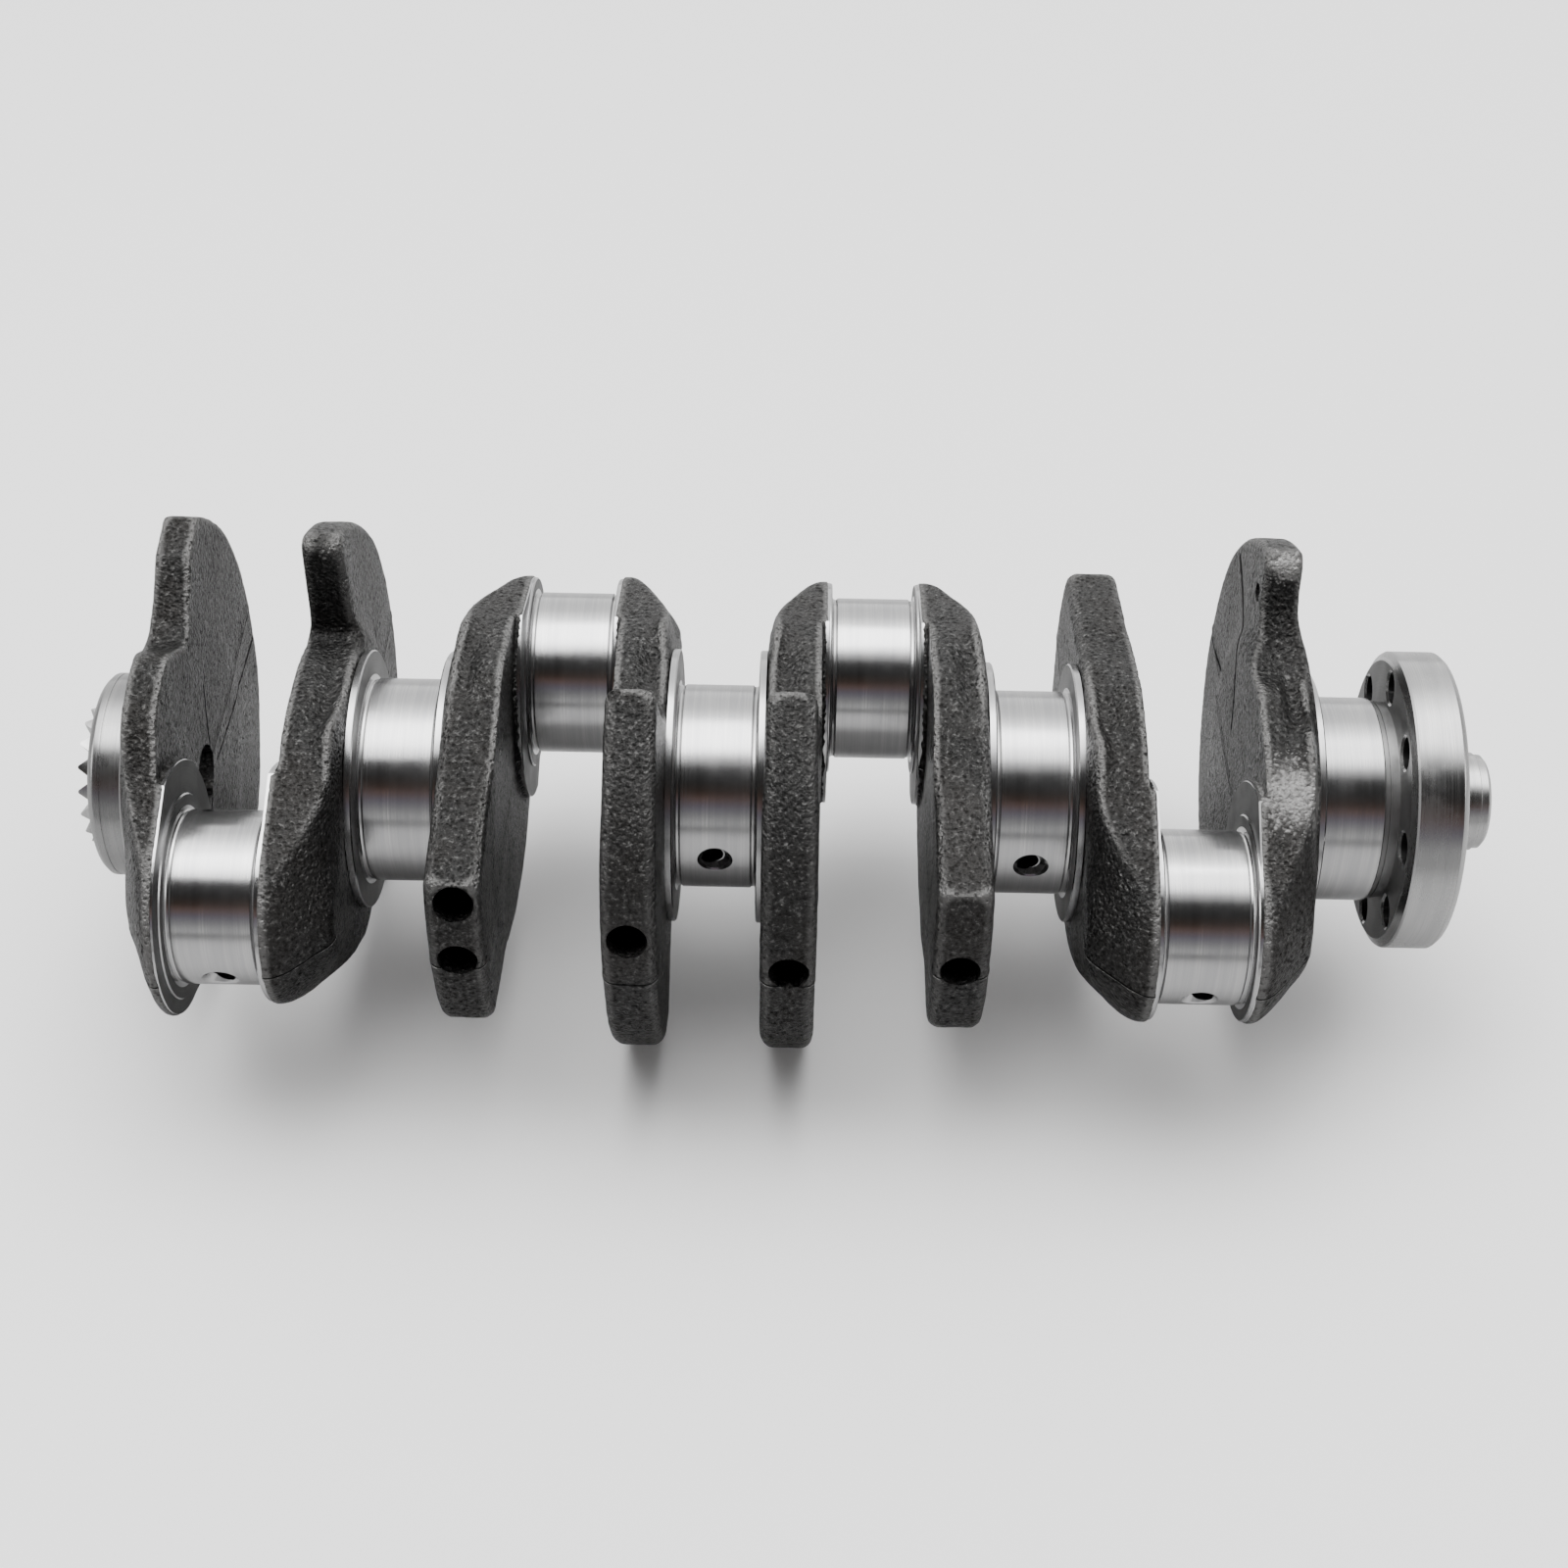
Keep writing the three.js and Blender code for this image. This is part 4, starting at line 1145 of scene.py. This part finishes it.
def build_web(n):
    name, main, pin = webs[n]
    form = forms[name]
    towards_main = 1 if pin < main else -1
    cheek_x = pin_x[pin] + towards_main * pin_half
    spans = {1: web1_x, 8: web8_x}
    ends = main_span[main]
    hub_x = spans.get(n, ends[0] if towards_main > 0 else ends[1])
    depth = abs(hub_x - cheek_x)
    field, low, step = web_field(form, depth)
    points, quads = skin_of(field, low, step)
    side = pin_side[pin]
    placed = np.stack([
        towards_main * points[:, 0],
        side * points[:, 1],
        points[:, 2],
    ], 1)
    if towards_main * side < 0:
        quads = quads[:, ::-1]
    web = mesh_object(f"forged_web_{n}", placed * MM, quads.tolist(), (cheek_x, 0, 0))
    rough_up(web.data, n)
    edge_mask(web.data)
    return web


built = {n: build_web(n) for n in webs}

# %% [markdown]
# Balancing is done last, on a machine that spins the shaft and drills metal out of the
# counterweights' rims. The oilways are drilled through arms and journals. All are real
# holes, cut with boolean cutters, so their rims catch the light.

# %% Balance drillings, oilways and the timing hole
BALANCE_R, BALANCE_DEPTH = 5.4, 16.0
balance = [(3, 17.9), (3, 2.6), (4, 11.7), (5, 4.0), (6, 2.3)]
web_cuts = {n: [] for n in webs}
for n, degrees in balance:
    form = forms[webs[n][0]]
    low, high = node_span(f"web_{n}")
    side = pin_side[webs[n][2]]
    t = math.radians(degrees)
    away = Vector((0, -side * math.cos(t), math.sin(t)))
    at = Vector(((low + high) / 2, 0, 0)) + away * form["rim"]
    web_cuts[n].append(rod("balance_drill", at - away * BALANCE_DEPTH, at + away * 4, BALANCE_R))
    web_cuts[n].append(rod("drill_point", at - away * (BALANCE_DEPTH + 3.2),
                           at - away * (BALANCE_DEPTH - 0.05), 0.1, BALANCE_R))
web_of_oilway = {2: 2, 3: 4, 4: 6, 5: 8}
for main, n in web_of_oilway.items():
    at, _, pin_at, _ = oilway(main)
    web_cuts[n].append(rod("oilway", at, pin_at, OIL_R))
web_cuts[1].append(rod("bolt_bore", (web1_x - 1, 0, 0), (pin_x[1], 0, 0), FRONT_BORE_R))
TIMING_R, TIMING_DEPTH, TIMING_AT = 2.5, 7.0, (27.0, 54.0)
low, high = node_span("web_8")
web_cuts[8].append(rod("timing_drill", (low - 2, *TIMING_AT), (low + TIMING_DEPTH, *TIMING_AT), TIMING_R))
for n, web in built.items():
    if web_cuts[n]:
        carve(web, web_cuts[n])
    keep(web, [f"web_{n}"], "forged_web", skins.get(n, forged))

# %% [markdown]
# Each crankpin is turned about its own axis, 46.4 mm off the shaft's. Its cheeks are
# milled flat round the pin and end where the forging ends, so the turned blank is wider
# than the arms and then trimmed to their outlines.

# %% Crankpins 1 to 4
def slab_of(name, outline, start, end, side):
    """A straight cutter with a web's outline, between two stations."""
    n = len(outline)
    ring = [(side * p * MM, q * MM) for p, q in outline]
    vertices = [(start * MM, y, z) for y, z in ring] + [(end * MM, y, z) for y, z in ring]
    around = [(i, (i + 1) % n, n + (i + 1) % n, n + i) for i in range(n)]
    faces = [tuple(range(n))[::-1], tuple(range(n, 2 * n)), *around]
    if side < 0:
        faces = [face[::-1] for face in faces]
    return mesh_object(name, vertices, faces)


CHEEK_TRIM, ARM_REACH = 0.6, 30
for k in (1, 2, 3, 4):
    x, side = pin_x[k], pin_side[k]
    band = pin_half - CHEEK - PIN_SHOULDER - PIN_UNDERCUT
    shoulder_x = pin_half - CHEEK
    end = bearing_side(band, PIN_R, PIN_UNDERCUT, PIN_SHOULDER_R, PIN_SHOULDER)
    end += [(shoulder_x, CHEEK_R - 0.2), (shoulder_x + 0.2, CHEEK_R), (pin_half, CHEEK_R)]
    profile = mirrored(end) + band_rows(band, PIN_R) + end
    crankpin = lathe(f"ground_crankpin_{k}", capped(profile), (x, side * THROW, 0))
    before, after = [n for n in webs if webs[n][2] == k]
    for n, start, stop in ((before, -pin_half - 1, 0), (after, 0, pin_half + 1)):
        form = forms[webs[n][0]]
        outline = arm_outline(form)
        inner = (outline - (THROW, 0)) * (1 - CHEEK_TRIM / ARM_REACH) + (THROW, 0)
        other = -pin_half - 1 if start == 0 else pin_half + 1
        keep_far = slab_of("keep_far", np.array([(-90, -90), (110, -90), (110, 90), (-90, 90)]),
                           *sorted((0, other)), side)
        keep_near = slab_of("keep_near", inner, start, stop, side)
        for cutter in (keep_far, keep_near):
            cutter.location.x = x * MM
        join = keep_near.modifiers.new("join", "BOOLEAN")
        join.object = keep_far
        join.operation = "UNION"
        carve(crankpin, [keep_near], "INTERSECT")
        bpy.data.objects.remove(keep_far)
    mouths = [oilway(m) for m, pin in oil_runs.items() if pin == k]
    for at, _, pin_at, out in mouths:
        carve(crankpin, mouth_cutters(pin_at, out, (pin_at - at).normalized()))
    flat_faces(crankpin, PIN_R + 2)
    keep(crankpin, [f"crankpin_{k}"], "ground_crankpin", polished_pin, milled_cheek)

# %% [markdown]
# The whole is measured again, so that its box can be set beside the CAD's.

# %% Write the sizes and finish
low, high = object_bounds()
print("visual box in mm:", [round(v * 1000, 1) for v in (*low, *high)])
